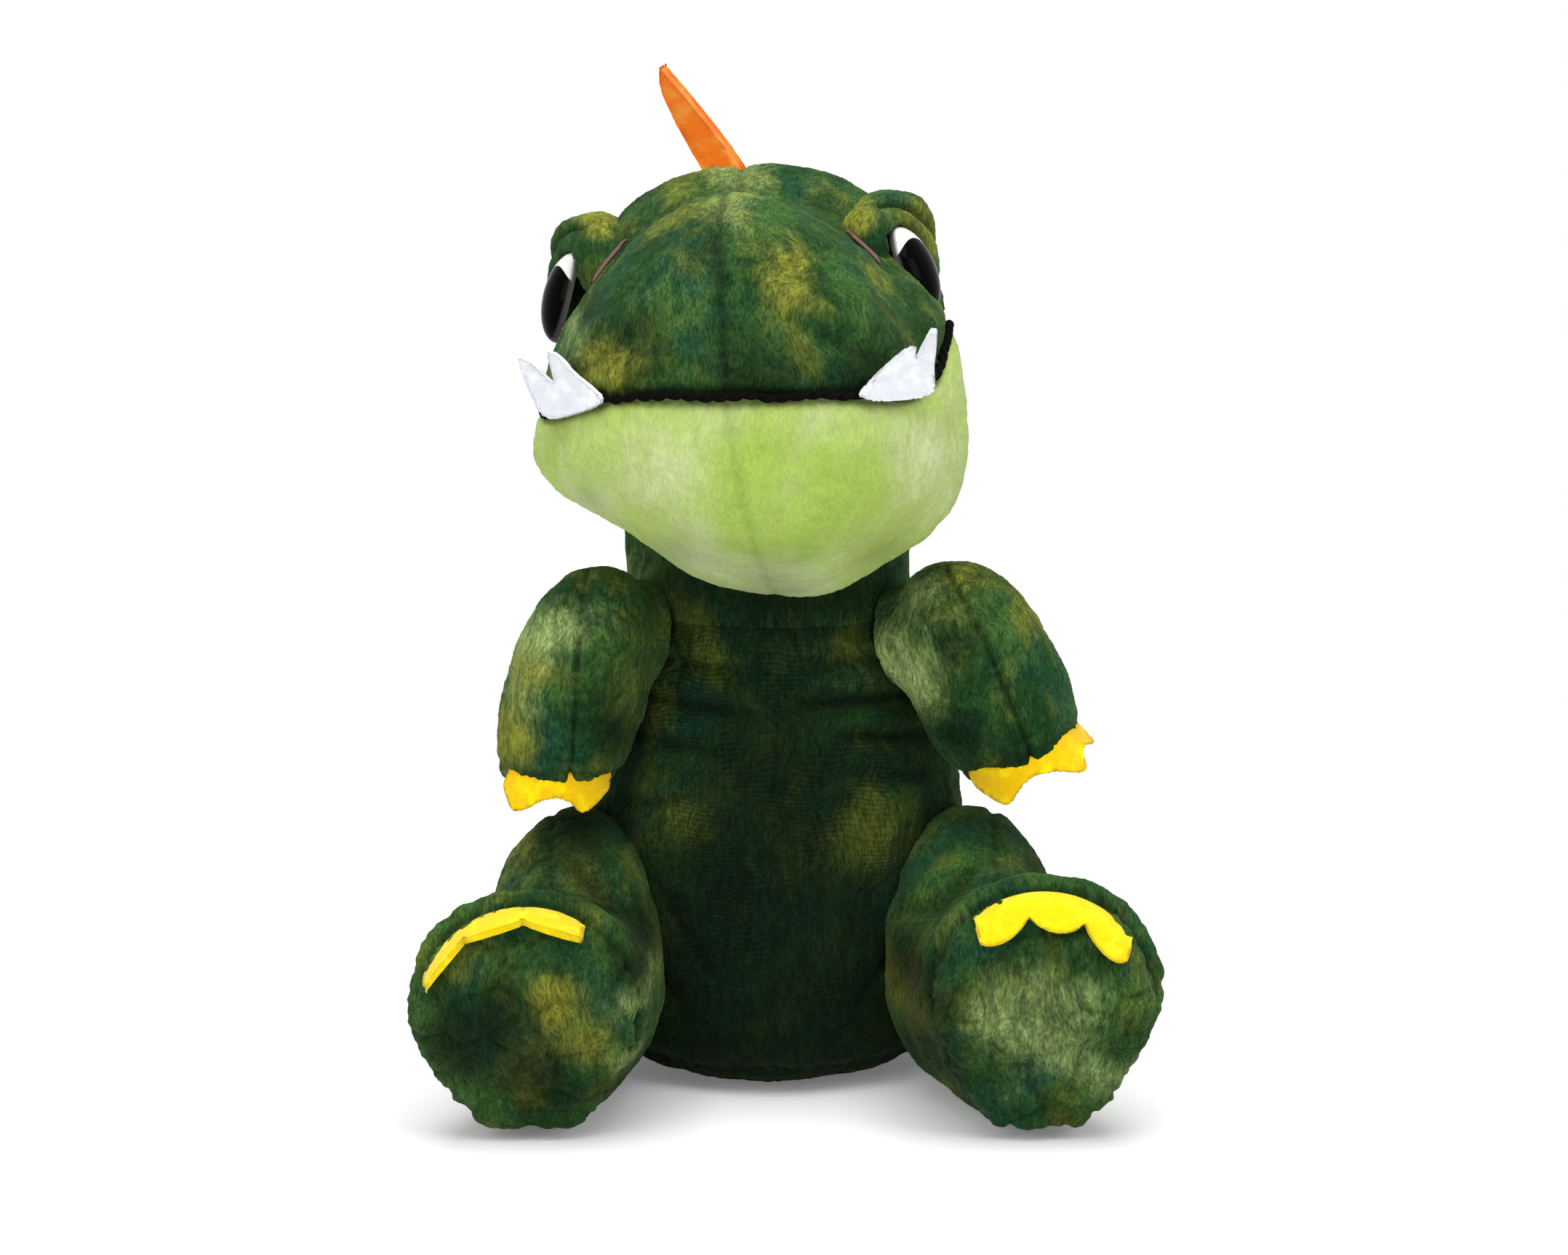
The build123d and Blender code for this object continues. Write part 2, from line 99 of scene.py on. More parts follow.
def length_one(arrows):
    """The same directions, each of them 1 long."""
    return arrows / np.linalg.norm(arrows, axis=1, keepdims=True)


def to_skin(solid, starts, rays, reach):
    """How far along each ray the skin of a solid is, by halving the gap again and again."""
    near, far = np.zeros(len(rays)), np.full(len(rays), reach)
    for _ in range(26):
        middle = (near + far) / 2
        inside = solid(starts + rays * middle[:, None]) < 0
        near, far = np.where(inside, middle, near), np.where(inside, far, middle)
    return near


def blown_up(cuts, centre, solid, reach=260.0):
    """Ball of even quads, each point moved out from the centre to the skin of a solid."""
    bm = bmesh.new()
    bmesh.ops.create_cube(bm, size=2)
    bmesh.ops.subdivide_edges(bm, edges=bm.edges, cuts=cuts, use_grid_fill=True)
    rays = length_one(np.tan(points_of(bm) * pi / 4))
    put(bm, centre + rays * to_skin(solid, centre, rays, reach)[:, None])
    return bm


def points_of(bm):
    """The places of a mesh's points, in millimetres, one to a row."""
    return np.array([v.co[:] for v in bm.verts])


def put(bm, points):
    """Moves the points of a mesh to new places."""
    for vertex, point in zip(bm.verts, points):
        vertex.co = point


def bumps(points, size, seed, detail=2):
    """Soft random hills and hollows, about -1 to 1, size millimetres across."""
    shift = Vector((seed * 17.3, seed * 5.1, seed * 9.7))
    return np.array([noise.fractal(Vector(p) / size + shift, 1.0, 2.0, detail) for p in points])


def hill(distance, width):
    """1 where the distance is 0, and falling softly away on both sides of it."""
    return np.exp(-((distance / width) ** 2))


def seam(distance, along, depth=1.7, width=2.2, pucker=0.35):
    """How far cloth is pulled in near a line of stitches, with small gathers across it."""
    gathers = np.sin(along * 1.1 + 2.0 * np.sin(along * 0.23)) * hill(distance, 6.0)
    return -depth * hill(distance, width) + pucker * gathers


def swell(points, centre, radius, height):
    """A soft raised place, or a dent where the height is below 0."""
    gap = np.linalg.norm((points - np.array(centre)) / np.array(radius), axis=1)
    return height * np.exp(-(gap**2))


def crease(points, start, end, depth, width):
    """A fold in the cloth between two places, given by x and z, that fades at its ends."""
    start, run = np.array(start), np.array(end) - np.array(start)
    flat = points[:, [0, 2]] - start
    share = np.clip(flat @ run / (run @ run), 0.02, 0.98)
    gap = np.linalg.norm(flat - share[:, None] * run, axis=1)
    swollen = 0.5 * hill(gap - 2 * width, 1.5 * width)
    return depth * np.sin(pi * share) ** 0.5 * (swollen - hill(gap, width))


def relief(bm, seed, extra, lumps=0.9, fine=0.3):
    """Moves each point along its normal: stuffing lumps, pile, and what extra adds."""
    bm.normal_update()
    normals = np.array([v.normal[:] for v in bm.verts])
    points = points_of(bm)
    rise = lumps * bumps(points, 17.0, seed) + 0.35 * bumps(points, 6.5, seed + 3)
    drawn_in = extra(points)
    rise += fine * bumps(points, 1.6, seed + 7, 1) + drawn_in
    put(bm, points + normals * rise[:, None])
    # how far each point is drawn in, kept so that the material can paint shade into the seams and creases
    crevice_shade = bm.verts.layers.float.new("crevice_shade")
    for vertex, depth in zip(bm.verts, np.clip(-drawn_in / 2.2, 0, 1)):
        vertex[crevice_shade] = depth


def panel(bm, keep):
    """Copy of the faces whose middles are kept."""
    part = bm.copy()
    middles = np.array([f.calc_center_median()[:] for f in part.faces])
    part.faces.ensure_lookup_table()
    lost = [part.faces[i] for i in np.flatnonzero(~keep(middles))]
    bmesh.ops.delete(part, geom=lost, context="FACES")
    return part


def cut_along(bm, point, normal):
    """New edges where a plane meets the mesh."""
    geometry = bm.verts[:] + bm.edges[:] + bm.faces[:]
    bmesh.ops.bisect_plane(bm, geom=geometry, plane_co=point, plane_no=normal, dist=0.02)


# limbs and brows are shaped as left ones, and mirrored for the right
MIRROR = {LEFT: Matrix(), RIGHT: Matrix.Scale(-1, 4, (1, 0, 0))}


def turned(degrees, axis):
    """A turn about one axis."""
    return Matrix.Rotation(radians(degrees), 4, axis)


def to_piece(name, bm, material, place=Matrix()):
    """Mesh object in metres, its place worked into its points."""
    bmesh.ops.transform(bm, matrix=place, verts=bm.verts)
    if place.determinant() < 0:
        bmesh.ops.reverse_faces(bm, faces=bm.faces)
    bmesh.ops.scale(bm, vec=(MM, MM, MM), verts=bm.verts)
    mesh = bpy.data.meshes.new(name)
    bm.to_mesh(mesh)
    bm.free()
    mesh.polygons.foreach_set("use_smooth", [True] * len(mesh.polygons))
    mesh.materials.append(material)
    piece = bpy.data.objects.new(name, mesh)
    bpy.context.scene.collection.objects.link(piece)
    return piece


def mark(piece, name, amounts):
    """One number at each point of a piece, for its material to read."""
    piece.data.attributes.new(name, "FLOAT", "POINT").data.foreach_set("value", amounts)


def dye_and_shade(piece, olive=(), pale=(), dark_dye_and_shade=()):
    """Where the dyed patches and the painted shade lie on a piece: soft spots of x, z, radius and
    strength. The darkest spots are partly dyed darker and partly painted shade, where the head, arms and
    chin shadow the cloth and low down on the body.
    """
    coords = np.empty(len(piece.data.vertices) * 3)
    piece.data.vertices.foreach_get("co", coords)
    coords = coords.reshape(-1, 3) / MM
    for name, spots in (("olive", olive), ("pale", pale), ("dark_dye_and_shade", dark_dye_and_shade)):
        amount = np.zeros(len(coords))
        for x, z, radius, strength in spots:
            amount += strength * hill(np.hypot(coords[:, 0] - x, coords[:, 2] - z), radius)
        mark(piece, name, amount)


def linear(colour):
    """sRGB hex as the linear colour that a shader takes."""
    parts = [int(colour[i : i + 2], 16) / 255 for i in (1, 3, 5)]
    return [c / 12.92 if c <= 0.04045 else ((c + 0.055) / 1.055) ** 2.4 for c in parts] + [1.0]


def feed(tree, node, **inputs):
    """Sets or links a node's inputs: by name, with _ for a space, or by number, as i0 or i1."""
    for key, value in inputs.items():
        socket = node.inputs[int(key[1:]) if key[1:].isdigit() else key.replace("_", " ")]
        if isinstance(value, bpy.types.NodeSocket):
            tree.links.new(value, socket)
        else:
            socket.default_value = value


def add_node(tree, kind, settings=None, out=0, **inputs):
    """Adds a node with its settings and links, and gives one of its outputs."""
    node = tree.nodes.new("ShaderNode" + kind)
    for key, value in (settings or {}).items():
        setattr(node, key, value)
    feed(tree, node, **inputs)
    return node.outputs[out]


def new_material(name, roughness):
    """Material with its node tree, its shader and the place on the object."""
    material = bpy.data.materials.new(name)
    material.use_nodes = True
    tree = material.node_tree
    shader = tree.nodes["Principled BSDF"]
    feed(tree, shader, Roughness=roughness)
    return material, tree, shader, add_node(tree, "TexCoord", out="Object")


# a mix of colours takes them as its inputs 6 and 7, and gives its output 2
rgba = {"data_type": "RGBA"}
smooth = {"interpolation_type": "SMOOTHSTEP"}


def plush(name, deep, main, teal, olive, pale, nap=0.45, rib=0.0):
    """Minky plush: short polyester pile on a knit back, tie-dyed in soft-edged patches.

    The pile lies in brushed streaks that turn gently from place to place, and scatters
    light at grazing angles. Each streak is drawn 0.8 mm wide, to show. The streaks are
    painted lighter at the tips of the pile and given painted shade at its roots and in its
    clumps, and the seams and creases get painted shade too; nap is how strong this painted
    light and shade is, and rib is how close the ribs of the knit are.
    """
    material, tree, shader, place = new_material(name, 0.9)
    add, times, times_add, scaled = (
        {"operation": what} for what in ("ADD", "MULTIPLY", "MULTIPLY_ADD", "SCALE")
    )

    # the way the pile is brushed, and the dye that soaked along it
    turns = add_node(tree, "TexNoise", out="Color", i0=place, Scale=1 / 0.025, Detail=1.0)
    swirl = add_node(tree, "VectorMath", scaled, i0=turns, Scale=0.012)
    curled = add_node(tree, "VectorMath", add, i0=place, i1=swirl)
    combed = add_node(tree, "Mapping", i0=curled, Scale=(1.0, 0.8, 0.34))
    soaked = add_node(tree, "Mapping", i0=curled, Scale=(1.0, 1.0, 0.75))
    cloud = add_node(
        tree, "TexNoise", i0=soaked, Scale=1 / 0.024, Detail=3.0, Roughness=0.5, Distortion=0.2
    )
    other = add_node(tree, "TexNoise", out="Color", i0=soaked, Scale=1 / 0.019, Detail=4.0, Roughness=0.55)
    mottle = add_node(tree, "TexNoise", i0=combed, Scale=1 / 0.0026, Detail=2.0, Roughness=0.6)
    streak = add_node(tree, "TexNoise", i0=combed, Scale=1 / 0.0008, Detail=3.0, Roughness=0.7)
    first, second, third = add_node(tree, "SeparateXYZ", i0=other).node.outputs
    wander = add_node(tree, "Math", times_add, i0=first, i1=1.2, i2=-0.6)
    small_wander = add_node(tree, "Math", times_add, i0=mottle, i1=0.4, i2=-0.2)
    wander = add_node(tree, "Math", add, i0=wander, i1=small_wander)

    # how much of each dye there is, in the order in which they lie on each other; the last, near-black
    # layer is partly dyed darker and partly painted shade
    blue_green = add_node(tree, "MapRange", smooth, i0=second, i1=0.46, i2=0.66)
    faint_olive = add_node(tree, "MapRange", smooth, i0=third, i1=0.5, i2=0.7)
    dyes_and_shade = [
        (add_node(tree, "Math", times, i0=blue_green, i1=0.8), teal),
        (add_node(tree, "Math", times, i0=faint_olive, i1=0.4), olive),
    ]
    for attribute, start, tint in (("pale", 0.1, pale), ("olive", 0.15, olive)):
        spots = add_node(tree, "Attribute", {"attribute_name": attribute}, out="Fac")
        spots = add_node(tree, "Math", add, i0=spots, i1=wander)
        dyes_and_shade.append((add_node(tree, "MapRange", smooth, i0=spots, i1=start, i2=1.0), tint))
    # the near-black layer: painted shade where the head, arms and chin shadow the cloth, and low on the
    # body, partly dyed darker too
    shade = add_node(tree, "Attribute", {"attribute_name": "dark_dye_and_shade"}, out="Fac")
    shade = add_node(tree, "Math", times_add, i0=wander, i1=0.35, i2=shade)
    shade = add_node(tree, "MapRange", smooth, i0=shade, i1=0.0, i2=1.0)
    dyes_and_shade.append((add_node(tree, "Math", times, i0=shade, i1=0.85), "#071509"))
    share = add_node(tree, "MapRange", smooth, i0=cloud, i1=0.38, i2=0.62)
    colour = add_node(tree, "Mix", rgba, out=2, i0=share, i6=linear(deep), i7=linear(main))
    for share, tint in dyes_and_shade:
        colour = add_node(tree, "Mix", rgba, out=2, i0=share, i6=colour, i7=linear(tint))

    # painted light on the tips of the pile, painted shade at its roots and in its clumps, and more painted
    # shade down in the seams and creases
    tips = add_node(tree, "MapRange", i0=streak, i1=0.35, i2=0.65, i3=1 - nap, i4=1 + 1.25 * nap)
    clump_light_and_shade = add_node(tree, "MapRange", i0=mottle, i1=0.3, i2=0.7, i3=1 - 0.7 * nap, i4=1 + 0.7 * nap)
    light = add_node(tree, "Math", times, i0=tips, i1=clump_light_and_shade)
    crevice_shade = add_node(tree, "Attribute", {"attribute_name": "crevice_shade"}, out="Fac")
    crevice_shade = add_node(tree, "Math", times_add, i0=crevice_shade, i1=-0.55, i2=1.0)
    light = add_node(tree, "Math", times, i0=light, i1=crevice_shade)
    if rib:
        along_z = {"bands_direction": "Z"}
        bands = add_node(
            tree, "TexWave", along_z, out="Fac", i0=curled, Scale=rib, Distortion=2.0, Detail=2.0
        )
        thin = add_node(tree, "MapRange", smooth, i0=cloud, i1=0.62, i2=0.4)
        ribs = add_node(tree, "Math", times_add, i0=bands, i1=0.5, i2=0.72)
        ribs = add_node(tree, "Mix", i0=thin, i2=1.0, i3=ribs)
        light = add_node(tree, "Math", times, i0=light, i1=ribs)
    colour = add_node(tree, "VectorMath", scaled, i0=colour, Scale=light)
    height = add_node(tree, "Math", times_add, i0=streak, i1=0.6, i2=mottle)
    lift = add_node(tree, "Bump", Height=height, Strength=min(1.0, 1.6 * nap), Distance=0.0011)
    feed(tree, shader, Base_Color=colour, Normal=lift, Specular_IOR_Level=0.06)
    feed(tree, shader, Sheen_Weight=0.1, Sheen_Roughness=0.4, Sheen_Tint=linear("#b4c490"))
    return material


# painted shade at the roots and painted light on the tips make it look deep and soft, with hardly any
# highlight
green_plush = plush("tie_dyed_green_plush", "#1a391b", "#345326", "#1b402b", "#6c7028", "#84985c")
# darker: partly dyed darker and partly painted shade under the head and arms, and worn thin enough for the
# ribs of the knit to catch the light across the belly: real ones are about 0.9 mm apart, and these are
# drawn at 1.6 mm so that they show
belly_plush = plush("ribbed_belly_plush", "#102613", "#1d3719", "#112f20", "#4c561e", "#485e33", rib=196.0)

# height, middle across and front to back, half width, depth behind and in front
trunk_sections = [
    (0.2, 0, 0, 36, 34, 34),
    (2.5, 0, 0, 45, 42, 43),
    (9.0, 0, 0, 55, 51, 54),
    (20.0, 0, 0, 63, 58, 61),
    (38.0, 0, 0, 67, 61, 64),
    (85.0, 0, 0, 67, 60, 61),
    (125.0, 0, 0, 61, 57, 56),
    (150.0, 0, 0, 55, 52, 51),
    (163.0, 0, 0, 51, 49, 49),
    (176.0, -2, -1, 49, 48, 47),
    (190.0, -2, -1, 50, 50, 48),
    (204.0, -1, -1, 46, 46, 45),
    (212.0, -1, -1, 5, 5, 5),
]
base_seam, neck_seam = 9.0, 163.3
# how far a limb's sewn seat is turned from the front, its tilt upwards, and where it lies
hip_turn, hip_depth = radians(53), 62.5
shoulder_turn, shoulder_tilt, shoulder_depth, shoulder_height = radians(58), radians(12), 51, 156.5
hip_out = np.array([sin(hip_turn), -cos(hip_turn), 0])
level = cos(shoulder_tilt)
shoulder_out = np.array([sin(shoulder_turn) * level, -cos(shoulder_turn) * level, sin(shoulder_tilt)])
shoulder_seat = np.array([0.848 * shoulder_depth, -0.53 * shoulder_depth, shoulder_height])


def trunk_solid(points):
    """The pear, with a flat where each arm and leg is sewn on."""
    mirrored = np.column_stack([np.abs(points[:, 0]), points[:, 1:]])
    at_hip = (mirrored @ hip_out - hip_depth) / 30
    at_shoulder = ((mirrored - shoulder_seat) @ shoulder_out) / 30
    body = stuffed(trunk_sections, along=2)(points)
    return np.maximum(body, np.maximum(at_hip, at_shoulder))


def trunk_relief(p):
    """The seams between the panels, and folds where the cloth bunches over the belly."""
    around = np.arctan2(p[:, 1], p[:, 0]) * 55
    rise = seam(p[:, 2] - base_seam, around, 0.9) + seam(p[:, 2] - neck_seam, around, 0.5, 2.5)
    body = (p[:, 2] > base_seam) & (p[:, 2] < neck_seam)
    rise += np.where(body & (p[:, 1] > 0), seam(p[:, 0], p[:, 2]), 0)
    rise += np.where(body, seam(p[:, 1], p[:, 2]), 0)
    low = np.clip((52 - p[:, 2]) / 8, 0, 1)
    rise += np.where(body & (p[:, 1] < 0), seam(p[:, 0], p[:, 2], 0.8, 1.6, 0.2) * low, 0)
    front = p[:, 1] < 0
    for start, end, depth in (
        ((-52, 152), (2, 147), 2.4),
        ((-50, 138), (-4, 134), 2.2),
        ((-48, 124), (-14, 121), 1.4),
        ((52, 150), (8, 152), 2.2),
        ((54, 136), (6, 139), 2.6),
        ((56, 122), (18, 127), 2.2),
        ((58, 108), (26, 113), 1.2),
        ((-30, 30), (-58, 66), 1.6),
        ((26, 30), (54, 70), 1.8),
        ((-52, 100), (-30, 104), 1.4),
        ((-44, 162), (-16, 156), 1.6),
        ((20, 158), (46, 160), 1.4),
        ((-20, 44), (-46, 84), 1.2),
    ):
        rise += crease(p, start, end, depth, 2.8) * front
    return rise


trunk = blown_up(118, np.array([0, 0, 90.0]), trunk_solid)
cut_along(trunk, Vector((0, 0, base_seam)), Vector((0, 0, 1)))
cut_along(trunk, Vector((0, 0, neck_seam)), Vector((0, 0, 1)))
relief(trunk, 1, trunk_relief)


def body_part(low, high, front=None, side=None):
    """Test for the points of one panel: between two heights, before or behind, and on a side."""

    def keep(p):
        kept = (p[:, 2] > low) & (p[:, 2] < high)
        if front is not None:
            kept &= (p[:, 1] < 0) == front
        return kept if side is None else kept & (p[:, 0] * side > 0)

    return keep


between_seams = (base_seam, neck_seam)
trunk_panels = [
    ("body_front_panel", (*between_seams, True), belly_plush, "trunk", ["body_front", "body_stuffing"]),
    ("body_back_panel_left", (*between_seams, False, LEFT), green_plush, "trunk", ["body_back_left"]),
    ("body_back_panel_right", (*between_seams, False, RIGHT), green_plush, "trunk", ["body_back_right"]),
    ("body_base_panel", (-9, base_seam), belly_plush, "trunk", ["base_panel"]),
    ("neck_panel", (neck_seam, 400), green_plush, "neck", ["neck_skin", "neck_stuffing"]),
]
for name, part, material, body, nodes in trunk_panels:
    piece = to_piece(name, panel(trunk, body_part(*part)), material)
    dye_and_shade(
        piece,
        olive=[
            (32, 92, 15, 1.0), (-25, 165, 10, 0.6), (-31, 98, 11, 0.7), (6, 81, 9, 0.5),
            (60, 60, 14, 0.5), (-20, 151, 10, 0.7), (26, 158, 10, 0.7), (38, 142, 9, 0.5),
            (-38, 136, 9, 0.5),
        ],
        pale=[
            (-50, 178, 9, 0.5), (50, 150, 8, 0.4), (-36, 152, 12, 0.45), (30, 150, 12, 0.4),
            (0, 158, 12, 0.3),
        ],
        # painted shade under the head and arms, down the neck and low on the body, partly dyed darker too
        dark_dye_and_shade=[
            (0, 122, 32, 0.8), (-14, 60, 34, 0.8), (20, 50, 34, 0.6), (0, 15, 60, 0.8),
            (0, 174, 20, 0.8), (-30, 174, 16, 0.6), (30, 174, 16, 0.6), (0, 193, 24, 0.4),
        ],
    )
    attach(piece, body)
    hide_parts(*nodes)
trunk.free()

# ---- Head ----------------------------------------------------------------------------
# Two green panels meet down the middle of the snout and skull; a lime jaw panel closes
# the underside. The head is cocked a little on the neck, as such toys settle.
neck_top = (-1, -1, 215)
HEAD = Matrix.Translation(neck_top) @ turned(-5, "Y") @ turned(-5, "Z")
# place along the head, middle across and up, half width, rise, drop, roundness above, below
head_sections = [
    (-119.5, 0, 24, 0, 0, 0, 2.0, 2.0),
    (-118.0, 0, 24, 23, 25, 18, 2.0, 2.0),
    (-113.0, 0, 24, 40, 44, 33, 1.95, 2.0),
    (-100.0, 0, 25, 57, 63, 49, 1.75, 2.0),
    (-84.0, 0, 25, 66.5, 71.5, 59, 1.64, 2.05),
    (-70.0, 0, 25, 70, 74.0, 64, 1.6, 2.15),
    (-54.0, 0, 26, 71, 69.0, 66, 1.7, 2.2),
    (-40.0, 0, 26, 70, 66.5, 64, 2.0, 2.2),
    (-26.0, 0, 25, 68.5, 73, 62, 2.3, 2.1),
    (-8.0, 0, 24, 66, 78, 60, 2.35, 2.0),
    (20.0, 0, 20, 60, 74, 50, 2.2, 2.0),
    (46.0, 0, 19, 46, 55, 43, 2.0, 2.0),
    (60.0, 0, 18, 26, 32, 26, 2.0, 2.0),
    (66.0, 0, 18, 0, 0, 0, 2.0, 2.0),
]
head_solid = stuffed(head_sections, along=1)
head_centre = np.array([0, -28.0, 30.0])
mouth_point = np.array([0, -119.0, 38.0])
mouth_slope = radians(-2)
mouth_normal = np.array([0, sin(mouth_slope), cos(mouth_slope)])
jaw_back = -6.0


def over_mouth(points):
    """Height over the plane of the mouth seam."""
    return (points - mouth_point) @ mouth_normal


def jaw_part(points):
    """Which points are on the lime panel: under the mouth and in front of its back seam."""
    return (over_mouth(points) < 0) & (points[:, 1] < jaw_back)


def settled(points):
    """The head's points once the filling has settled: the mouth sags, the chin leans."""
    x, y, z = points.T
    level = -0.075 * x * np.exp(-((x / 62) ** 4))
    dip = -4.5 * hill(np.abs(x) - 57, 15) * np.clip((-60 - y) / 20, 0, 1)
    right_corner = -10.0 * np.clip((y + 104) / 40, 0, 1)
    left_corner = 7.0 * np.clip((y + 80) / 32, 0, 1)
    corner = np.where(x < 0, right_corner, left_corner)
    corner *= np.clip((30 - y) / 40, 0, 1) * np.clip(np.abs(x) / 20, 0, 1)
    near = hill(over_mouth(points), 26)
    ahead = np.clip((40 - y) / 30, 0, 1)
    chin = 0.10 * np.clip(20 - z, 0, 60) * ahead
    tuck = np.zeros(len(x))
    for middle, width, lift in ((-49, 25, 13), (-10, 20, 3), (36, 16, 3), (73, 14, -6)):
        tuck += lift * hill(x - middle, width)
    tuck *= np.clip((28 - z) / 45, 0, 1) * ahead
    return np.column_stack([x + chin, y, z + near * (level + dip + corner) + tuck])


def head_relief(p):
    """The seams, the gathers under the eyes and brows, and full cheeks."""
    rise = seam(over_mouth(p), p[:, 0], 2.6, 3.0, 0.2) * (p[:, 1] < jaw_back)
    rise += seam(p[:, 0], p[:, 1], 0.3, 0.9, 0.1) * (over_mouth(p) > 3)
    rise += np.where(over_mouth(p) < 0, seam(p[:, 1] - jaw_back, p[:, 0]), 0)
    rise += np.where(jaw_part(p), seam(p[:, 0], p[:, 1], 0.5, 1.6, 0.1), 0)
    rise += np.where(jaw_part(p), 0, seam(p[:, 0], p[:, 2], 1.3, 2.0, 0.3))
    for side in SIDES.values():
        rise += swell(p, (side * 62, -36, 66), (15, 14, 20), -2.8)
        rise += swell(p, (side * 34, -40, 96), (11, 12, 14), -2.0)
        rise += swell(p, (side * 60, -60, 50), (14, 14, 18), 3.2)
        rise += swell(p, (side * 62, -62, 14), (18, 24, 18), 2.4)
        rise += crease(p, (side * 12, 66), (side * 52, 46), 1.0, 2.6) * (p[:, 1] < -60)
        rise += crease(p, (side * 8, 50), (side * 34, 42), 0.9, 2.2) * (p[:, 1] < -60)
    rise += crease(p, (10, 84), (44, 60), 0.9, 3.0) * (p[:, 1] < -60)
    rise += crease(p, (-14, 80), (-50, 62), 1.0, 2.6) * (p[:, 1] < -60)
    return rise


head = blown_up(156, head_centre, head_solid)
cut_along(head, mouth_point, mouth_normal)
cut_along(head, (0, jaw_back, 0), (0, 1, 0))
relief(head, 11, head_relief)


def head_part(keep):
    """One panel of the head, let settle after it is parted from the others."""
    part = panel(head, keep)
    put(part, settled(points_of(part)))
    return part


# shorter pile, all tips and hardly any shadow between them, so it looks light and even
lime_plush = plush("lime_plush", "#9fb45e", "#a6bc68", "#abbb7c", "#96b24e", "#b8c592", nap=0.09)
jaw = to_piece("jaw_panel", head_part(jaw_part), lime_plush, HEAD)
dye_and_shade(
    jaw,
    olive=[
        (-4, 234, 16, 0.7), (-7, 208, 16, 0.7), (24, 224, 18, 0.8), (-58, 224, 12, 0.5),
        (12, 200, 14, 0.4),
    ],
    pale=[
        (-35, 227, 14, 0.6), (48, 233, 14, 0.7), (4, 186, 22, 0.9), (-61, 212, 16, 0.7),
        (-26, 196, 14, 0.7), (60, 215, 16, 0.5),
    ],
    # painted shade under the chin
    dark_dye_and_shade=[(0, 186, 18, 0.5), (-32, 198, 13, 0.4), (36, 196, 13, 0.4), (-60, 212, 9, 0.25)],
)
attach(jaw, "head")
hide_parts("jaw_skin", "head_stuffing")
for side_name, side in SIDES.items():
    half = head_part(lambda p: ~jaw_part(p) & (p[:, 0] * side > 0))
    half = to_piece(f"head_panel_{side_name}", half, green_plush, HEAD)
    dye_and_shade(
        half,
        olive=[
            (4, 288, 13, 0.9), (-52, 260, 11, 0.9), (-32, 309, 11, 0.6), (36, 288, 8, 0.5),
            (-12, 316, 12, 0.5),
        ],
        pale=[(-14, 316, 13, 0.7), (-72, 245, 8, 0.5), (62, 240, 8, 0.4), (-66, 268, 8, 0.5)],
        # partly dyed darker, partly painted shade round the snout and mouth
        dark_dye_and_shade=[
            (-42, 271, 12, 0.5), (-22, 299, 13, 0.45), (-9, 264, 15, 0.6), (32, 262, 14, 0.7),
            (-30, 245, 14, 0.7), (20, 305, 8, 0.3), (2, 248, 14, 0.7), (30, 248, 12, 0.6),
            (54, 262, 9, 0.5), (-58, 276, 9, 0.4),
        ],
    )
    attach(half, "head")
    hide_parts(f"head_skin_{side_name}")
head.free()

# ---- Mouth yarn ------------------------------------------------------------------------
# One chunky black acrylic yarn, two plies twisted together, couched along the mouth seam
# from corner to corner.


def mouth_line(steps):
    """Points and outward directions along the mouth seam, from the right corner to the left."""
    middle = np.array([0, -28.0, 0])
    middle[2] = mouth_point[2] - (middle[1] - mouth_point[1]) * mouth_normal[1] / mouth_normal[2]
    angle = np.linspace(radians(-176), radians(-4), steps)
    climb = -np.sin(angle) * mouth_normal[1] / mouth_normal[2]
    rays = length_one(np.column_stack([np.cos(angle), np.sin(angle), climb]))
    points = middle + rays * to_skin(head_solid, middle, rays, 200.0)[:, None]
    return points, length_one(np.cross(np.gradient(points, axis=0), mouth_normal))


def lattice(columns, rows, shape):
    """Grid of quads, each point at shape(u, v), with u and v from 0 to 1."""
    bm = bmesh.new()
    bmesh.ops.create_grid(bm, x_segments=columns, y_segments=rows, size=0.5)
    flat = points_of(bm) + 0.5
    put(bm, shape(flat[:, 0], flat[:, 1]))
    return bm


def follow(line, share):
    """Point on a line of points, by share of its length."""
    gaps = np.linalg.norm(np.diff(line, axis=0), axis=1)
    place = np.concatenate([[0], np.cumsum(gaps)])
    here = share * place[-1]
    return np.column_stack([np.interp(here, place, line[:, axis]) for axis in range(3)])


def tube(columns, rows, line, radius):
    """Closed tube round a line; radius is a function of the share along it."""

    def shape(u, v):
        here = follow(line, u)
        ahead, behind = np.clip(u + 0.004, 0, 1), np.clip(u - 0.004, 0, 1)
        run = length_one(follow(line, ahead) - follow(line, behind))
        across = length_one(np.cross(run, np.array([0.0, 0.0, 1.0])))
        over = np.cross(across, run)
        turn = v * 2 * pi
        size = radius(u) * np.sqrt(np.clip(1 - np.abs(2 * u - 1) ** 24, 0, 1))
        sideways = across * (np.cos(turn) * size)[:, None]
        return here + (sideways + over * (np.sin(turn) * size)[:, None])

    bm = lattice(columns, rows, shape)
    bmesh.ops.remove_doubles(bm, verts=bm.verts, dist=0.01)
    bmesh.ops.recalc_face_normals(bm, faces=bm.faces)
    return bm


def add_to(whole, part):
    """Moves the faces of one mesh into another."""
    mesh = bpy.data.meshes.new("part")
    part.to_mesh(mesh)
    part.free()
    whole.from_mesh(mesh)
    bpy.data.meshes.remove(mesh)


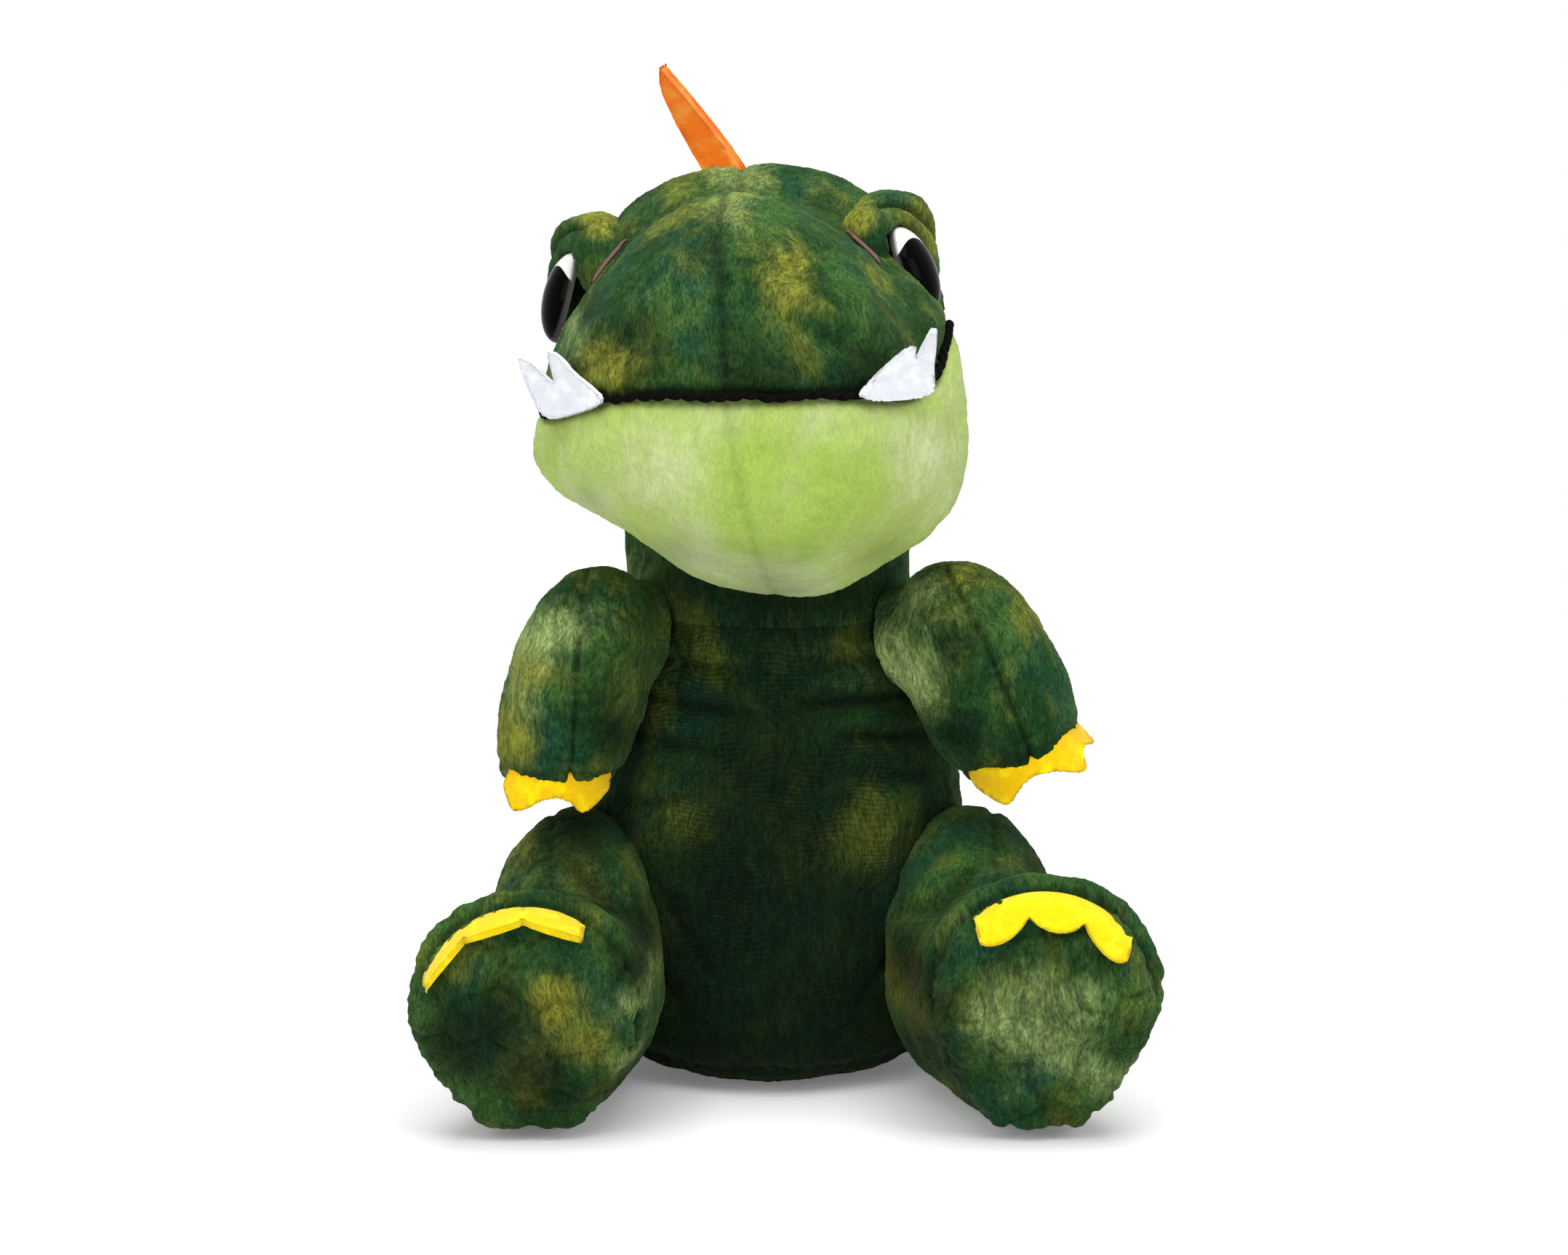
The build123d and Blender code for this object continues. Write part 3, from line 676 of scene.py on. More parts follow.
yarn_points, yarn_out = mouth_line(400)
yarn_points = settled(yarn_points)
yarn_end = -40.0  # how far back the yarn runs on each side
sewn = yarn_points[:, 1] < yarn_end
yarn_line = yarn_points[sewn] + yarn_out[sewn] * 0.1
yarn_line[:, 2] += bumps(yarn_line, 9.0, 5)
# fuzzy fibres that swallow the light: black, with only a faint grey where they catch it
yarn_wool, tree, shader, place = new_material("black_acrylic_yarn", 0.95)
fibre = add_node(tree, "TexNoise", i0=place, Scale=1 / 0.0005, Detail=3.0)
colour = add_node(tree, "Mix", rgba, out=2, i0=fibre, i6=linear("#020202"), i7=linear("#100e0d"))
fuzz = add_node(tree, "Bump", Height=fibre, Strength=0.8, Distance=0.0004)
feed(tree, shader, Base_Color=colour, Normal=fuzz, Specular_IOR_Level=0.05)
yarn_turns, ply_radius, ply_offset = 26, 0.88, 0.62
twist = np.linspace(0, 2 * pi * yarn_turns, len(yarn_line))
plies = bmesh.new()


def ply_size(u):
    """The radius of a ply: a little uneven, and thicker towards its ends."""
    return ply_radius + 0.1 * np.sin(u * 310) + 0.5 * (2 * u - 1) ** 4


for ply in (0, pi):
    swing = yarn_out[sewn] * np.cos(twist + ply)[:, None] + mouth_normal * np.sin(twist + ply)[:, None]
    add_to(plies, tube(900, 10, yarn_line + ply_offset * swing, ply_size))
yarn = to_piece("mouth_yarn_twisted", plies, yarn_wool, HEAD)
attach(yarn, "head")
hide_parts("mouth_yarn")

# ---- Teeth -----------------------------------------------------------------------------
# White craft felt, cut as one strip with two fangs and a long low end, and caught in the
# mouth seam at each corner. Its tips stand free of the snout.


def felt(name, light, main, deep):
    """Pressed acrylic felt: matted fibres with no weave, and a fuzzy cut edge."""
    material, tree, shader, place = new_material(name, 0.95)
    matted = {"Scale": 1 / 0.0007, "Detail": 4.0, "Roughness": 0.75, "Distortion": 1.2}
    fibres = add_node(tree, "TexNoise", i0=place, **matted)
    cloud = add_node(tree, "TexNoise", i0=place, Scale=1 / 0.006, Detail=2.0)
    share = add_node(tree, "MapRange", smooth, i0=fibres, i1=0.3, i2=0.7)
    colour = add_node(tree, "Mix", rgba, out=2, i0=share, i6=linear(deep), i7=linear(main))
    share = add_node(tree, "MapRange", smooth, i0=cloud, i1=0.45, i2=0.75)
    colour = add_node(tree, "Mix", rgba, out=2, i0=share, i6=colour, i7=linear(light))
    fuzz = add_node(tree, "Bump", Height=fibres, Strength=0.55, Distance=0.0006)
    feed(tree, shader, Base_Color=colour, Normal=fuzz, Sheen_Weight=0.15, Specular_IOR_Level=0.1)
    return material


def cut_sheet(outline, cell, place_at, thickness, seed):
    """Sheet cut to an outline, divided into cells, bent by place_at and given thickness."""
    bm = bmesh.new()
    rounded = np.array(outline, dtype=float)
    for _ in range(2):
        after = np.roll(rounded, -1, axis=0)
        corners = [rounded * 0.8 + after * 0.2, rounded * 0.2 + after * 0.8]
        rounded = np.column_stack(corners).reshape(-1, 2)
    made = bmesh.ops.create_circle(bm, cap_ends=True, segments=len(rounded), radius=1)
    for vertex, (u, v) in zip(made["verts"], rounded):
        vertex.co = (u, v, 0)
    low, high = rounded.min(axis=0), rounded.max(axis=0)
    for axis in (0, 1):
        normal = Vector((1 - axis, axis, 0))
        for level in np.arange(low[axis] + cell, high[axis], cell):
            cut_along(bm, normal * level, normal)
    bmesh.ops.recalc_face_normals(bm, faces=bm.faces)
    bmesh.ops.solidify(bm, geom=bm.faces, thickness=-thickness)
    flat = points_of(bm)
    flat[:, 2] -= (flat[:, 2].max() + flat[:, 2].min()) / 2
    rim = [e for e in bm.edges if e.calc_face_angle(0) > 0.9]
    put(bm, place_at(flat[:, 0], flat[:, 1], flat[:, 2]))
    bmesh.ops.bevel(
        bm, geom=rim, offset=thickness * 0.22, offset_type="OFFSET", segments=2, profile=0.5,
        affect="EDGES", material=-1,
    )
    bm.normal_update()
    points = points_of(bm)
    normals = np.array([v.normal[:] for v in bm.verts])
    put(bm, points + normals * (0.16 * bumps(points, 1.3, seed, 1))[:, None])
    bmesh.ops.recalc_face_normals(bm, faces=bm.faces)
    return bm


# bright and quite matt, so the fangs look flat and cut next to the deep pile
white_felt = felt("white_felt", "#f2f4f8", "#e9ebf0", "#d5d8df")
# across from the inner end and up, as seen from the front: two fangs and a low outer end
tooth_outlines = {
    "left": [
        (0, 0), (3.8, 4.8), (8.9, 9.4), (12.8, 12.8), (16.4, 15.6), (17.4, 15.2), (17.0, 11.0),
        (18.4, 12.4), (20.4, 16.6), (22.4, 21.2), (23.4, 20.8), (23.3, 14), (22.6, 7), (22.6, 0.6),
        (18.7, -1.2), (11.9, -1.6), (4.3, -1.6),
    ],
    "right": [
        (0, 0), (3.7, 4.2), (9.4, 9.6), (12.4, 14.6), (15.8, 18.0), (17.0, 17.4), (16.8, 11.4),
        (16.0, 6.8), (18.7, 8.6), (22.6, 14.4), (26.4, 17.0), (27.3, 15.8), (26.0, 9.0), (24.0, 2.4),
        (22.2, -2.8), (18.4, -4.6), (10.6, -3.6), (3.4, -2.2),
    ],
}
# where the inner end is along the seam from the back, and how far the strip turns back
tooth_pose = {"left": (91.5, 36), "right": (92.0, 34)}


def tooth_at(side_name, side):
    """Where the points of one side's strip lie: it stands in the seam and turns back."""
    start, turn = tooth_pose[side_name]
    keep = (yarn_points[:, 0] * side > 0) & (yarn_points[:, 1] < -20)
    points = yarn_points[keep][:: -1 if side == LEFT else 1]
    gaps = np.concatenate([[0], np.cumsum(np.linalg.norm(np.diff(points, axis=0), axis=1))])
    inner = np.array([np.interp(start, gaps, points[:, axis]) for axis in range(3)])
    along = np.array([side, tan(radians(turn)), 0])
    away = np.array([side * sin(radians(turn)), -cos(radians(turn)), 0])

    def place_at(u, v, w):
        bow = 2.9 + w + 0.006 * np.clip(v, 0, 30) ** 2 - 0.02 * np.clip(-v, 0, 9) ** 2
        bow += 0.004 * np.clip(u - 10, 0, 30) ** 2
        base = inner + along * u[:, None] + away * bow[:, None]
        base[:, 2] = inner[2] + v - 0.13 * u
        return base

    return place_at


for side_name, side in SIDES.items():
    strip = cut_sheet(
        tooth_outlines[side_name], cell=1.6, place_at=tooth_at(side_name, side), thickness=1.6,
        seed=20 + side,
    )
    teeth = to_piece(f"teeth_felt_{side_name}", strip, white_felt, HEAD)
    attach(teeth, "head")
    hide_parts(f"teeth_{side_name}")

# ---- Eyes ------------------------------------------------------------------------------
# Moulded oval safety eyes: a clear domed acrylic shell over a black pupil, with a pearl
# white crescent above it, pressed through the cloth and locked with a washer.

eye_out = {LEFT: -2.5, RIGHT: 1.2}  # one sits deeper in the cloth than the other


def eye_frame(side):
    """Place of an eye in the head's frame: x across, y up, z out of the head."""
    turn = turned(90, "X") @ turned(side * 76, "Y") @ turned(-20, "X")
    return Matrix.Translation((side * (59.0 + eye_out[side]), -37, 64.5)) @ turn


# the one hard and polished thing here: sharp small reflections over a deep black, and a
# cloudy pearl crescent that ends in a dull grey rim, a painted reflection along the dome's edge
eye_acrylic, tree, shader, place = new_material("clear_acrylic_eye", 0.04)
smear = add_node(tree, "TexNoise", i0=place, Scale=1 / 0.004, Detail=2.0)
pearl = add_node(tree, "Mix", rgba, out=2, i0=smear, i6=linear("#bdb8b2"), i7=linear("#efece8"))
zone = add_node(tree, "Attribute", {"attribute_name": "zone"}, out="Fac")
share = add_node(tree, "MapRange", smooth, i0=zone, i1=0.47, i2=0.53)
colour = add_node(tree, "Mix", rgba, out=2, i0=share, i6=linear("#030303"), i7=pearl)
# painted reflection: a dull grey ring round the edge of the dome
rim = add_node(tree, "Attribute", {"attribute_name": "rim"}, out="Fac")
share = add_node(tree, "MapRange", smooth, i0=rim, i1=0.955, i2=1.0)
colour = add_node(tree, "Mix", rgba, out=2, i0=share, i6=colour, i7=linear("#4a4645"))
feed(tree, shader, Base_Color=colour, IOR=1.2, Specular_IOR_Level=0.12)
eye_half_width, eye_half_height, eye_dome = 11.5, 15.8, 8.0
for side_name, side in SIDES.items():
    dome = bmesh.new()
    bmesh.ops.create_uvsphere(dome, u_segments=96, v_segments=64, radius=1)
    geometry = dome.verts[:] + dome.edges[:] + dome.faces[:]
    bmesh.ops.bisect_plane(
        dome, geom=geometry, plane_co=(0, 0, 0), plane_no=(0, 0, -1), clear_outer=True
    )
    unit = points_of(dome)
    put(dome, unit * np.array([eye_half_width, eye_half_height, eye_dome]))
    bmesh.ops.recalc_face_normals(dome, faces=dome.faces)
    eye = to_piece(f"eye_dome_{side_name}", dome, eye_acrylic, HEAD @ eye_frame(side))
    off_pupil = np.hypot(side * unit[:, 0] + 0.3, unit[:, 1] + 0.3)
    mark(eye, "zone", 0.5 + 4 * (off_pupil - 0.93))
    mark(eye, "rim", np.hypot(unit[:, 0], unit[:, 1]))
    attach(eye, "head")
    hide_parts(f"eye_{side_name}")

# ---- Brows -----------------------------------------------------------------------------
# A hood of plush over each eye: stuffed, folded round the top and back of the eye, and
# pinched into a short front lobe and a long back one.

# middle and radii of each lobe, in the head's frame
brow_lobes = [
    ((50, -19, 78), (12.5, 23, 12.5)),
    ((58.5, -17, 68), (8.5, 12, 20)),
    ((46.0, -45, 76), (9.0, 10, 12)),
]
to_eye = np.array((Matrix.Translation((-eye_out[LEFT], 0, 0)) @ eye_frame(LEFT)).inverted())


def brow_solid(points):
    """The lobes run together, and hollow where the eye sits."""
    total = 0
    for centre, radii in brow_lobes:
        out = np.linalg.norm((points - np.array(centre)) / np.array(radii), axis=1) - 1
        total = total + np.exp(-9 * out)
    eye_space = points @ to_eye[:3, :3].T + to_eye[:3, 3]
    room = np.array([eye_half_width + 0.3, eye_half_height + 0.3, 22])
    in_eye = 1 - np.linalg.norm(eye_space / room, axis=1)
    return np.maximum(-np.log(np.maximum(total, 1e-12)) / 9, in_eye)


def brow_relief(p):
    """The pinch between the lobes, and the cloth that swells beside it."""
    pinch = (p - np.array([48, -35.5, 88])) @ np.array([0.42, -0.78, -0.46])
    return -2.6 * hill(pinch, 2.2) * (p[:, 2] > 70) + 0.9 * hill(np.abs(pinch) - 5, 3.5)


for side_name, side in SIDES.items():
    hood = blown_up(60, np.array([48.5, -21.0, 79.0]), brow_solid, 60.0)
    relief(hood, 30 + side, brow_relief, lumps=0.6)
    over_eye = HEAD @ MIRROR[side] @ Matrix.Translation((eye_out[side], 0, 0))
    brow = to_piece(f"brow_hood_{side_name}", hood, green_plush, over_eye)
    dye_and_shade(
        brow,
        olive=[(-58, 305, 9, 1.6), (50, 302, 8, 0.6), (27, 303, 7, 1.2), (58, 292, 7, 1.0)],
        pale=[(-62, 305, 6, 0.4), (57, 286, 7, 0.5)],
        dark_dye_and_shade=[(-72, 298, 8, 0.3), (40, 294, 7, 0.3)],
    )
    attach(brow, "head")
    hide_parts(f"brow_{side_name}")

# ---- Snout stitches ----------------------------------------------------------------------
# A short bar of satin stitch on each side of the snout's top: sixteen turns of brown
# thread, laid side by side by machine through the plush.

# lighter and darker strands with a soft sheen, so that the turns show side by side
stitch_thread, tree, shader, place = new_material("brown_sewing_thread", 0.6)
strands = add_node(tree, "TexNoise", i0=place, Scale=1 / 0.0004, Detail=2.0)
colour = add_node(tree, "Mix", rgba, out=2, i0=strands, i6=linear("#3a211c"), i7=linear("#6a4038"))
feed(tree, shader, Base_Color=colour)
# across and along the head, and how far the bar stands out of the pile
stitch_place = {"left": (42, -60, 0.0), "right": (-38, -75, 0.8)}
thread_radius, under_skin = 0.5, 40.0
for side_name, side in SIDES.items():
    x, y, lift = stitch_place[side_name]
    sway = np.linspace(-3.0, 3.0, 7)
    bars = bmesh.new()
    for share in np.linspace(-0.5, 0.5, 16):
        across, along = x - side * 8 * share, y + 7 * share
        starts = np.full((len(sway), 3), under_skin)
        starts[:, :2] = np.column_stack([across + side * sway * 0.55, along - sway * 0.9])
        upwards = np.tile((0.0, 0.0, 1.0), (len(sway), 1))
        skin = starts + upwards * to_skin(head_solid, starts, upwards, 90.0)[:, None]
        bow = np.column_stack([0 * sway + side * 0.9, 0 * sway, lift + 0.9 * np.cos(sway * 0.5)])
        add_to(bars, tube(10, 8, skin + bow, lambda u: thread_radius))
    stitches = to_piece(f"snout_satin_stitch_{side_name}", bars, stitch_thread, HEAD)
    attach(stitches, "head")
    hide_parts(f"snout_stitches_{side_name}")

# ---- Arms --------------------------------------------------------------------------------
# Each arm is two panels of plush sewn together down the front and back and stuffed, set
# on a flat seat at the shoulder. Three felt claws are caught in the seam round its end.

# up the arm, middle across and front to back, half width, depth behind and in front
arm_sections = [
    (-38.5, 0, 0, 0, 0, 0),
    (-37.5, 0, 0, 14, 13, 14),
    (-34.0, 0, 0, 20.5, 18, 20),
    (-27.0, 0, 0, 23.5, 22, 23),
    (-12.0, 0, 0, 26, 24, 25),
    (6.0, 0, 0, 25.5, 24, 25),
    (22.0, 0, 0, 22, 21, 22),
    (32.0, 0, 0, 15, 15, 15),
    (38.5, 0, 0, 0, 0, 0),
]
arm_middle = {"left": (70, -43, 149), "right": (66, -43, 145.5)}
arm_lean = {"left": 24, "right": 4}
arm_shear = {"left": 0.05, "right": 0.17}  # outward, as the arm goes down
arm_width = {"left": 1.0, "right": 0.94}
arm_seam_at = {"left": 6.0, "right": 0.0}
# the dark spots are partly dyed darker and partly painted shade
arm_dye_and_shade = {
    "left": {
        "olive": [(64, 183, 9, 0.7), (90, 168, 10, 0.7), (84, 176, 8, 0.5)],
        "pale": [(43, 152, 14, 0.95), (50, 176, 9, 0.5), (47, 139, 9, 0.5)],
        "dark_dye_and_shade": [(60, 160, 9, 0.6), (82, 124, 12, 0.6), (62, 128, 10, 0.5)],
    },
    "right": {
        "olive": [(-89, 126, 12, 0.9), (-82, 150, 11, 0.7), (-48, 148, 10, 0.5)],
        "pale": [(-84, 158, 12, 0.8), (-68, 166, 10, 0.6), (-84, 140, 10, 0.5)],
        "dark_dye_and_shade": [(-58, 144, 9, 0.5), (-45, 168, 10, 0.4), (-52, 124, 10, 0.5)],
    },
}
# a warm and even yellow, matt and flat beside the mottled plush
hand_felt = felt("golden_felt", "#ffdf00", "#fcd000", "#e4b000")
# height of the seam that holds the claws, and the strip's length before it is bent round
hand_ring, hand_strip = -31.0, 60.0
hand_arc = {"left": (-152, 0), "right": (-148, -42)}
# share of the strip's length, and how far the felt reaches past the seam
hand_outlines = {
    "left": [
        (0, -3), (0.01, 3), (0.10, 7), (0.20, 12), (0.245, 12.4), (0.33, 8.5), (0.42, 6.4),
        (0.54, 8), (0.67, 13), (0.71, 13), (0.77, 7.2), (0.84, 6.5), (0.92, 8.5), (0.98, 8.5),
        (1.0, 6), (1.0, -3),
    ],
    "right": [
        (0, -3), (0, 4), (0.10, 7), (0.22, 11), (0.29, 11.6), (0.38, 8), (0.50, 6.6), (0.62, 8),
        (0.74, 12), (0.82, 12.4), (0.92, 8), (1.0, 5), (1.0, -3),
    ],
}
for side_name, side in SIDES.items():
    arm_place = Matrix.Translation(arm_middle[side_name]) @ turned(-arm_lean[side_name], "Y")
    to_arm = np.array(arm_place.inverted())
    shear, width = arm_shear[side_name], arm_width[side_name]
    leaning = [(row[0], -shear * row[0], 0, row[3] * width, *row[4:]) for row in arm_sections]
    arm_body = stuffed(leaning, along=2)

    def arm_solid(points):
        """The arm in its own frame, grown towards the shoulder and flat against its seat."""
        world = points @ np.linalg.inv(to_arm[:3, :3]).T + np.array(arm_middle[side_name])
        stub = np.linalg.norm((world - shoulder_seat - shoulder_out * 6) / 18, axis=1) - 1
        main = arm_body(points)
        blend = np.clip(0.5 + (main - stub) / 0.8, 0, 1)
        joined = main * (1 - blend) + stub * blend - 0.4 * blend * (1 - blend)
        return np.maximum(joined, (0.6 - (world - shoulder_seat) @ shoulder_out) / 20)

    def arm_relief(p):
        """The seam down the front, the one that holds the claws, and a dent on the inner side."""
        line = p[:, 0] - arm_seam_at[side_name] * np.cos(p[:, 2] / 45)
        rise = seam(line, p[:, 2], 1.5, 1.1) * (p[:, 1] < 4)
        rise += seam(p[:, 2] - hand_ring, 0, 0.9, 1.6, pucker=0) * (p[:, 1] < 12)
        return rise + swell(p, (-14, -18, -14), (9, 12, 8), -1.6)

    arm = blown_up(104, np.array([0, 0, 0.0]), arm_solid, 90.0)
    relief(arm, 40 + side, arm_relief, lumps=1.0)
    piece = to_piece(f"arm_plush_{side_name}", arm, green_plush, MIRROR[side] @ arm_place)
    dye_and_shade(piece, **arm_dye_and_shade[side_name])
    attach(piece, f"arm_{side_name}")
    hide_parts(f"arm_skin_{side_name}", f"arm_stuffing_{side_name}")

    def claw_at(u, v, w):
        """The strip bent round the end of the arm, standing out of its seam."""
        start, end = hand_arc[side_name]
        turn = np.radians(start + u / hand_strip * (end - start))
        radius = 20.5 + 0.25 * v + w
        sink = hand_ring - v
        middle = -shear * sink
        return np.column_stack([middle + radius * np.cos(turn), radius * 0.95 * np.sin(turn), sink])

    strip = [(share * hand_strip, v) for share, v in hand_outlines[side_name]]
    claws = cut_sheet(strip, cell=2.0, place_at=claw_at, thickness=1.8, seed=50 + side)
    piece = to_piece(f"hand_claws_felt_{side_name}", claws, hand_felt, MIRROR[side] @ arm_place)
    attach(piece, f"arm_{side_name}")
    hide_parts(f"hand_claws_{side_name}")

# ---- Legs --------------------------------------------------------------------------------
# Thigh and foot are one stuffed plush form, with a seam over the thigh and a padded sole
# panel facing forward, dimpled all over. Felt claws are caught over the toes.

# along the leg, sideways, height, half width, rise, drop, roundness above and below
leg_sections = [
    (15.0, 60, 46, 0, 0, 0),
    (8.0, 60, 46, 20, 28, 28),
    (-8.0, 64, 46.5, 28.5, 42, 40),
    (-32.0, 67, 47, 32, 50, 45),
    (-58.0, 68, 44.5, 30, 43, 41),
    (-74.0, 73, 42, 31, 36, 39),
    (-84.0, 77, 43, 34, 37, 42, 2, 1.95),
    (-96.0, 82, 46, 37.5, 40, 49, 2.15, 1.65),
    (-108.0, 85, 47, 38.5, 41, 53, 2.25, 1.55),
    (-113.0, 85, 47, 37.5, 39, 53, 2.25, 1.52),
    (-118.0, 85, 46, 35.0, 34, 50, 2.2, 1.52),
    (-121.0, 85, 45, 29.0, 28, 40, 2.1, 1.6),
    (-122.5, 85, 45, 16.0, 15, 18),
    (-123.0, 85, 45, 0, 0, 0),
]
sole_seam = -113.0
foot_shift = {"left": (4.0, 3.0), "right": (-4.0, -2.5)}  # outward and up, of the foot alone
# the dark spots are partly dyed darker and partly painted shade, low near the floor and between leg and
# body
leg_dye_and_shade = {
    "left": {
        "olive": [(94, 62, 12, 0.4), (44, 43, 12, 0.9), (112, 80, 8, 0.4)],
        "pale": [
            (73, 46, 13, 0.6), (91, 40, 12, 0.5), (107, 28, 11, 0.5), (85, 62, 11, 0.45),
            (102, 55, 10, 0.45), (80, 20, 10, 0.35),
        ],
        "dark_dye_and_shade": [
            (80, 100, 14, 0.3), (90, 74, 12, 0.5), (85, 30, 34, 0.3), (48, 52, 16, 0.8),
            (52, 24, 14, 0.8), (120, 40, 10, 0.5),
        ],
    },
    "right": {
        "olive": [(-73, 54, 10, 0.95), (-62, 38, 12, 0.8), (-88, 88, 9, 0.7), (-80, 20, 9, 0.6)],
        "pale": [(-45, 52, 7, 0.8), (-90, 84, 8, 0.4), (-48, 30, 7, 0.5)],
        "dark_dye_and_shade": [
            (-104, 38, 14, 0.8), (-76, 22, 16, 0.7), (-90, 50, 12, 0.6), (-66, 92, 14, 0.75),
            (-44, 62, 12, 0.8), (-48, 16, 12, 0.7), (-84, 45, 34, 0.25),
        ],
    },
}
# the same kind of felt as the hands' in a cooler and lighter yellow, with no shine on its bends
yellow_felt = felt("yellow_felt", "#fff01c", "#fbe10a", "#e9c600")
# the strip of claws: its length, how far its tips hang, how deep it is cut between them,
# and where it starts and ends round the foot
foot_strip = 66.0
claw_droop = {"left": 62, "right": 14}
scallop = {"left": 7.0, "right": 5.5}
claw_arc = {"left": (129, 38), "right": (122, 24)}
for side_name, side in SIDES.items():
    moved = []
    for y, x, z, wide, rise, drop, *roundness in leg_sections:
        share = min(max((-50 - y) / 45, 0), 1)
        out, up = (share * amount for amount in foot_shift[side_name])
        moved.append((y, x + out, z + up, wide, rise, drop and drop + up, *roundness))
    leg_body = stuffed(moved, along=1)

    def leg_solid(points):
        """Thigh and foot, flat against the hip and on the ground."""
        at_hip = (hip_depth + 0.5 - points @ hip_out) / 20
        ground = 1.2 + 0.07 * np.clip(-60 - points[:, 1], 0, 60)
        return np.maximum(np.maximum(leg_body(points), at_hip), (ground - points[:, 2]) / 20)

    def leg_relief(p):
        """The seams, folds at the ankle, and the dimples where the sole is tacked down."""
        around = np.arctan2(p[:, 2] - 45, p[:, 0] - 85) * 38
        rise = seam(p[:, 1] - sole_seam, around, 2.4, 2.2, 0.5)
        rise += 1.6 * hill(p[:, 1] + 107, 4) * np.clip((p[:, 2] - 20) / 30, 0, 1)
        rise += crease(p, (44, 66), (74, 88), 2.0, 2.4) * (p[:, 1] < -50) * (p[:, 1] > -96)
        rise += crease(p, (40, 40), (58, 74), 1.6, 2.4) * (p[:, 1] < -60) * (p[:, 1] > -100)
        top = p[:, 2] > 50
        rise += np.where(top & (p[:, 1] > -84), seam(p[:, 0] - 76, p[:, 1], 1.2, 1.8), 0)
        rise += np.where(p[:, 1] > -84, swell(p, (60, -74, 84), (30, 7, 16), -2.0), 0)
        spots = [Vector((x / 15, 0.3 * side, z / 15)) for x, _, z in p]
        cells = np.array([noise.voronoi(spot)[0][:2] for spot in spots])
        valley = hill(cells[:, 1] - cells[:, 0], 0.16)
        rise += np.where(p[:, 1] < sole_seam - 1.5, 0.8 - 1.5 * valley, -0.5 * valley * (p[:, 1] < -86))
        return rise

    leg = blown_up(118, np.array([74.0, -66.0, 44.0]), leg_solid)
    cut_along(leg, (0, sole_seam, 0), (0, 1, 0))
    relief(leg, 60 + side, leg_relief, lumps=1.1)
    tilted = points_of(leg)  # the sole leans back towards the ground
    tilted[:, 1] += 0.36 * np.clip(45 - tilted[:, 2], 0, 45) * np.clip((-60 - tilted[:, 1]) / 50, 0, 1)
    put(leg, tilted)
    for name, keep, nodes in (
        ("leg_plush", lambda p: p[:, 1] > sole_seam, ("leg_skin", "leg_stuffing")),
        ("sole_pad", lambda p: p[:, 1] < sole_seam, ("sole",)),
    ):
        piece = to_piece(f"{name}_{side_name}", panel(leg, keep), green_plush, MIRROR[side])
        dye_and_shade(piece, **leg_dye_and_shade[side_name])
        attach(piece, f"leg_{side_name}")
        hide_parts(*[f"{node}_{side_name}" for node in nodes])
    leg.free()

    shift_x, shift_z = foot_shift[side_name]
    droop = radians(claw_droop[side_name])

    def toe_claw_at(u, v, w):
        """The strip bent round the top of the foot, its tips bowed over the toes."""
        start, end = claw_arc[side_name]
        turn = np.radians(start + u / foot_strip * (end - start))
        bend, straight = np.clip(v, -5, 8) / 8, np.clip(v - 8, 0, 30)
        fall = droop * np.clip(bend, 0, 1)
        ahead = 8 / droop * np.sin(droop * bend) + straight * cos(droop) + w * np.sin(fall)
        inward = 8 / droop * (1 - np.cos(droop * bend)) + straight * sin(droop) - w * np.cos(fall)
        x = 85 + shift_x + (36.0 - inward * 0.4) * np.cos(turn)
        z = 46 + shift_z + 38.0 * np.sin(turn) - inward
        return np.column_stack([x, sole_seam - 1.5 - ahead, z])

    lobes = []
    for share in np.linspace(0, 1, 46):
        lobe = abs(sin(3 * pi * (share * 0.97 + 0.015)))
        lobes.append((share * foot_strip, 7.5 + scallop[side_name] * lobe**0.55))
    strip = [(0, -3), *lobes, (foot_strip, -3)]
    claws = cut_sheet(strip, cell=2.0, place_at=toe_claw_at, thickness=2.2, seed=70 + side)
    piece = to_piece(f"foot_claws_felt_{side_name}", claws, yellow_felt, MIRROR[side])
    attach(piece, f"leg_{side_name}")
    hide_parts(f"foot_claws_{side_name}")

# ---- Tail --------------------------------------------------------------------------------
# A stuffed cone behind the seat that props the toy: two panels of plush with a seam down
# the top, sewn to the back panels round its root.

TAIL = Matrix.Translation((0, 60, 42)) @ turned(-23, "X")
# along the tail, middle across and up, half width, rise, drop
tail_sections = [
    (-34.0, 0, 0, 0, 0, 0),
    (-30.0, 0, 0, 12, 12, 12),
    (-12.0, 0, 0, 29.5, 29.5, 29.5),
    (2.0, 0, 0, 31.5, 31.5, 31.5),
    (30.0, 0, 0, 23.5, 23.5, 23.5),
    (55.0, 0, 0, 14.5, 14.5, 14.5),
    (72.0, 0, 0, 8.0, 8.0, 8.0),
    (77.5, 0, 0, 3.5, 3.5, 3.5),
    (78.7, 0, 0, 0, 0, 0),
]
tail_body = stuffed(tail_sections, along=1)
tail_turn = np.array(TAIL)


def tail_solid(points):
    """The cone in its own frame, with its root against the trunk."""
    world = points @ tail_turn[:3, :3].T + tail_turn[:3, 3]
    body = stuffed(trunk_sections, along=2)(world)
    return np.maximum(tail_body(points), -body + 0.01)


def tail_relief(p):
    """The seam down the top, and the gathers that it makes."""
    gathers = 0.5 * np.sin(p[:, 1] * 0.5) * hill(p[:, 0], 9) * (p[:, 2] > 0)
    return seam(p[:, 0], p[:, 1], 1.3, 2.0) + gathers


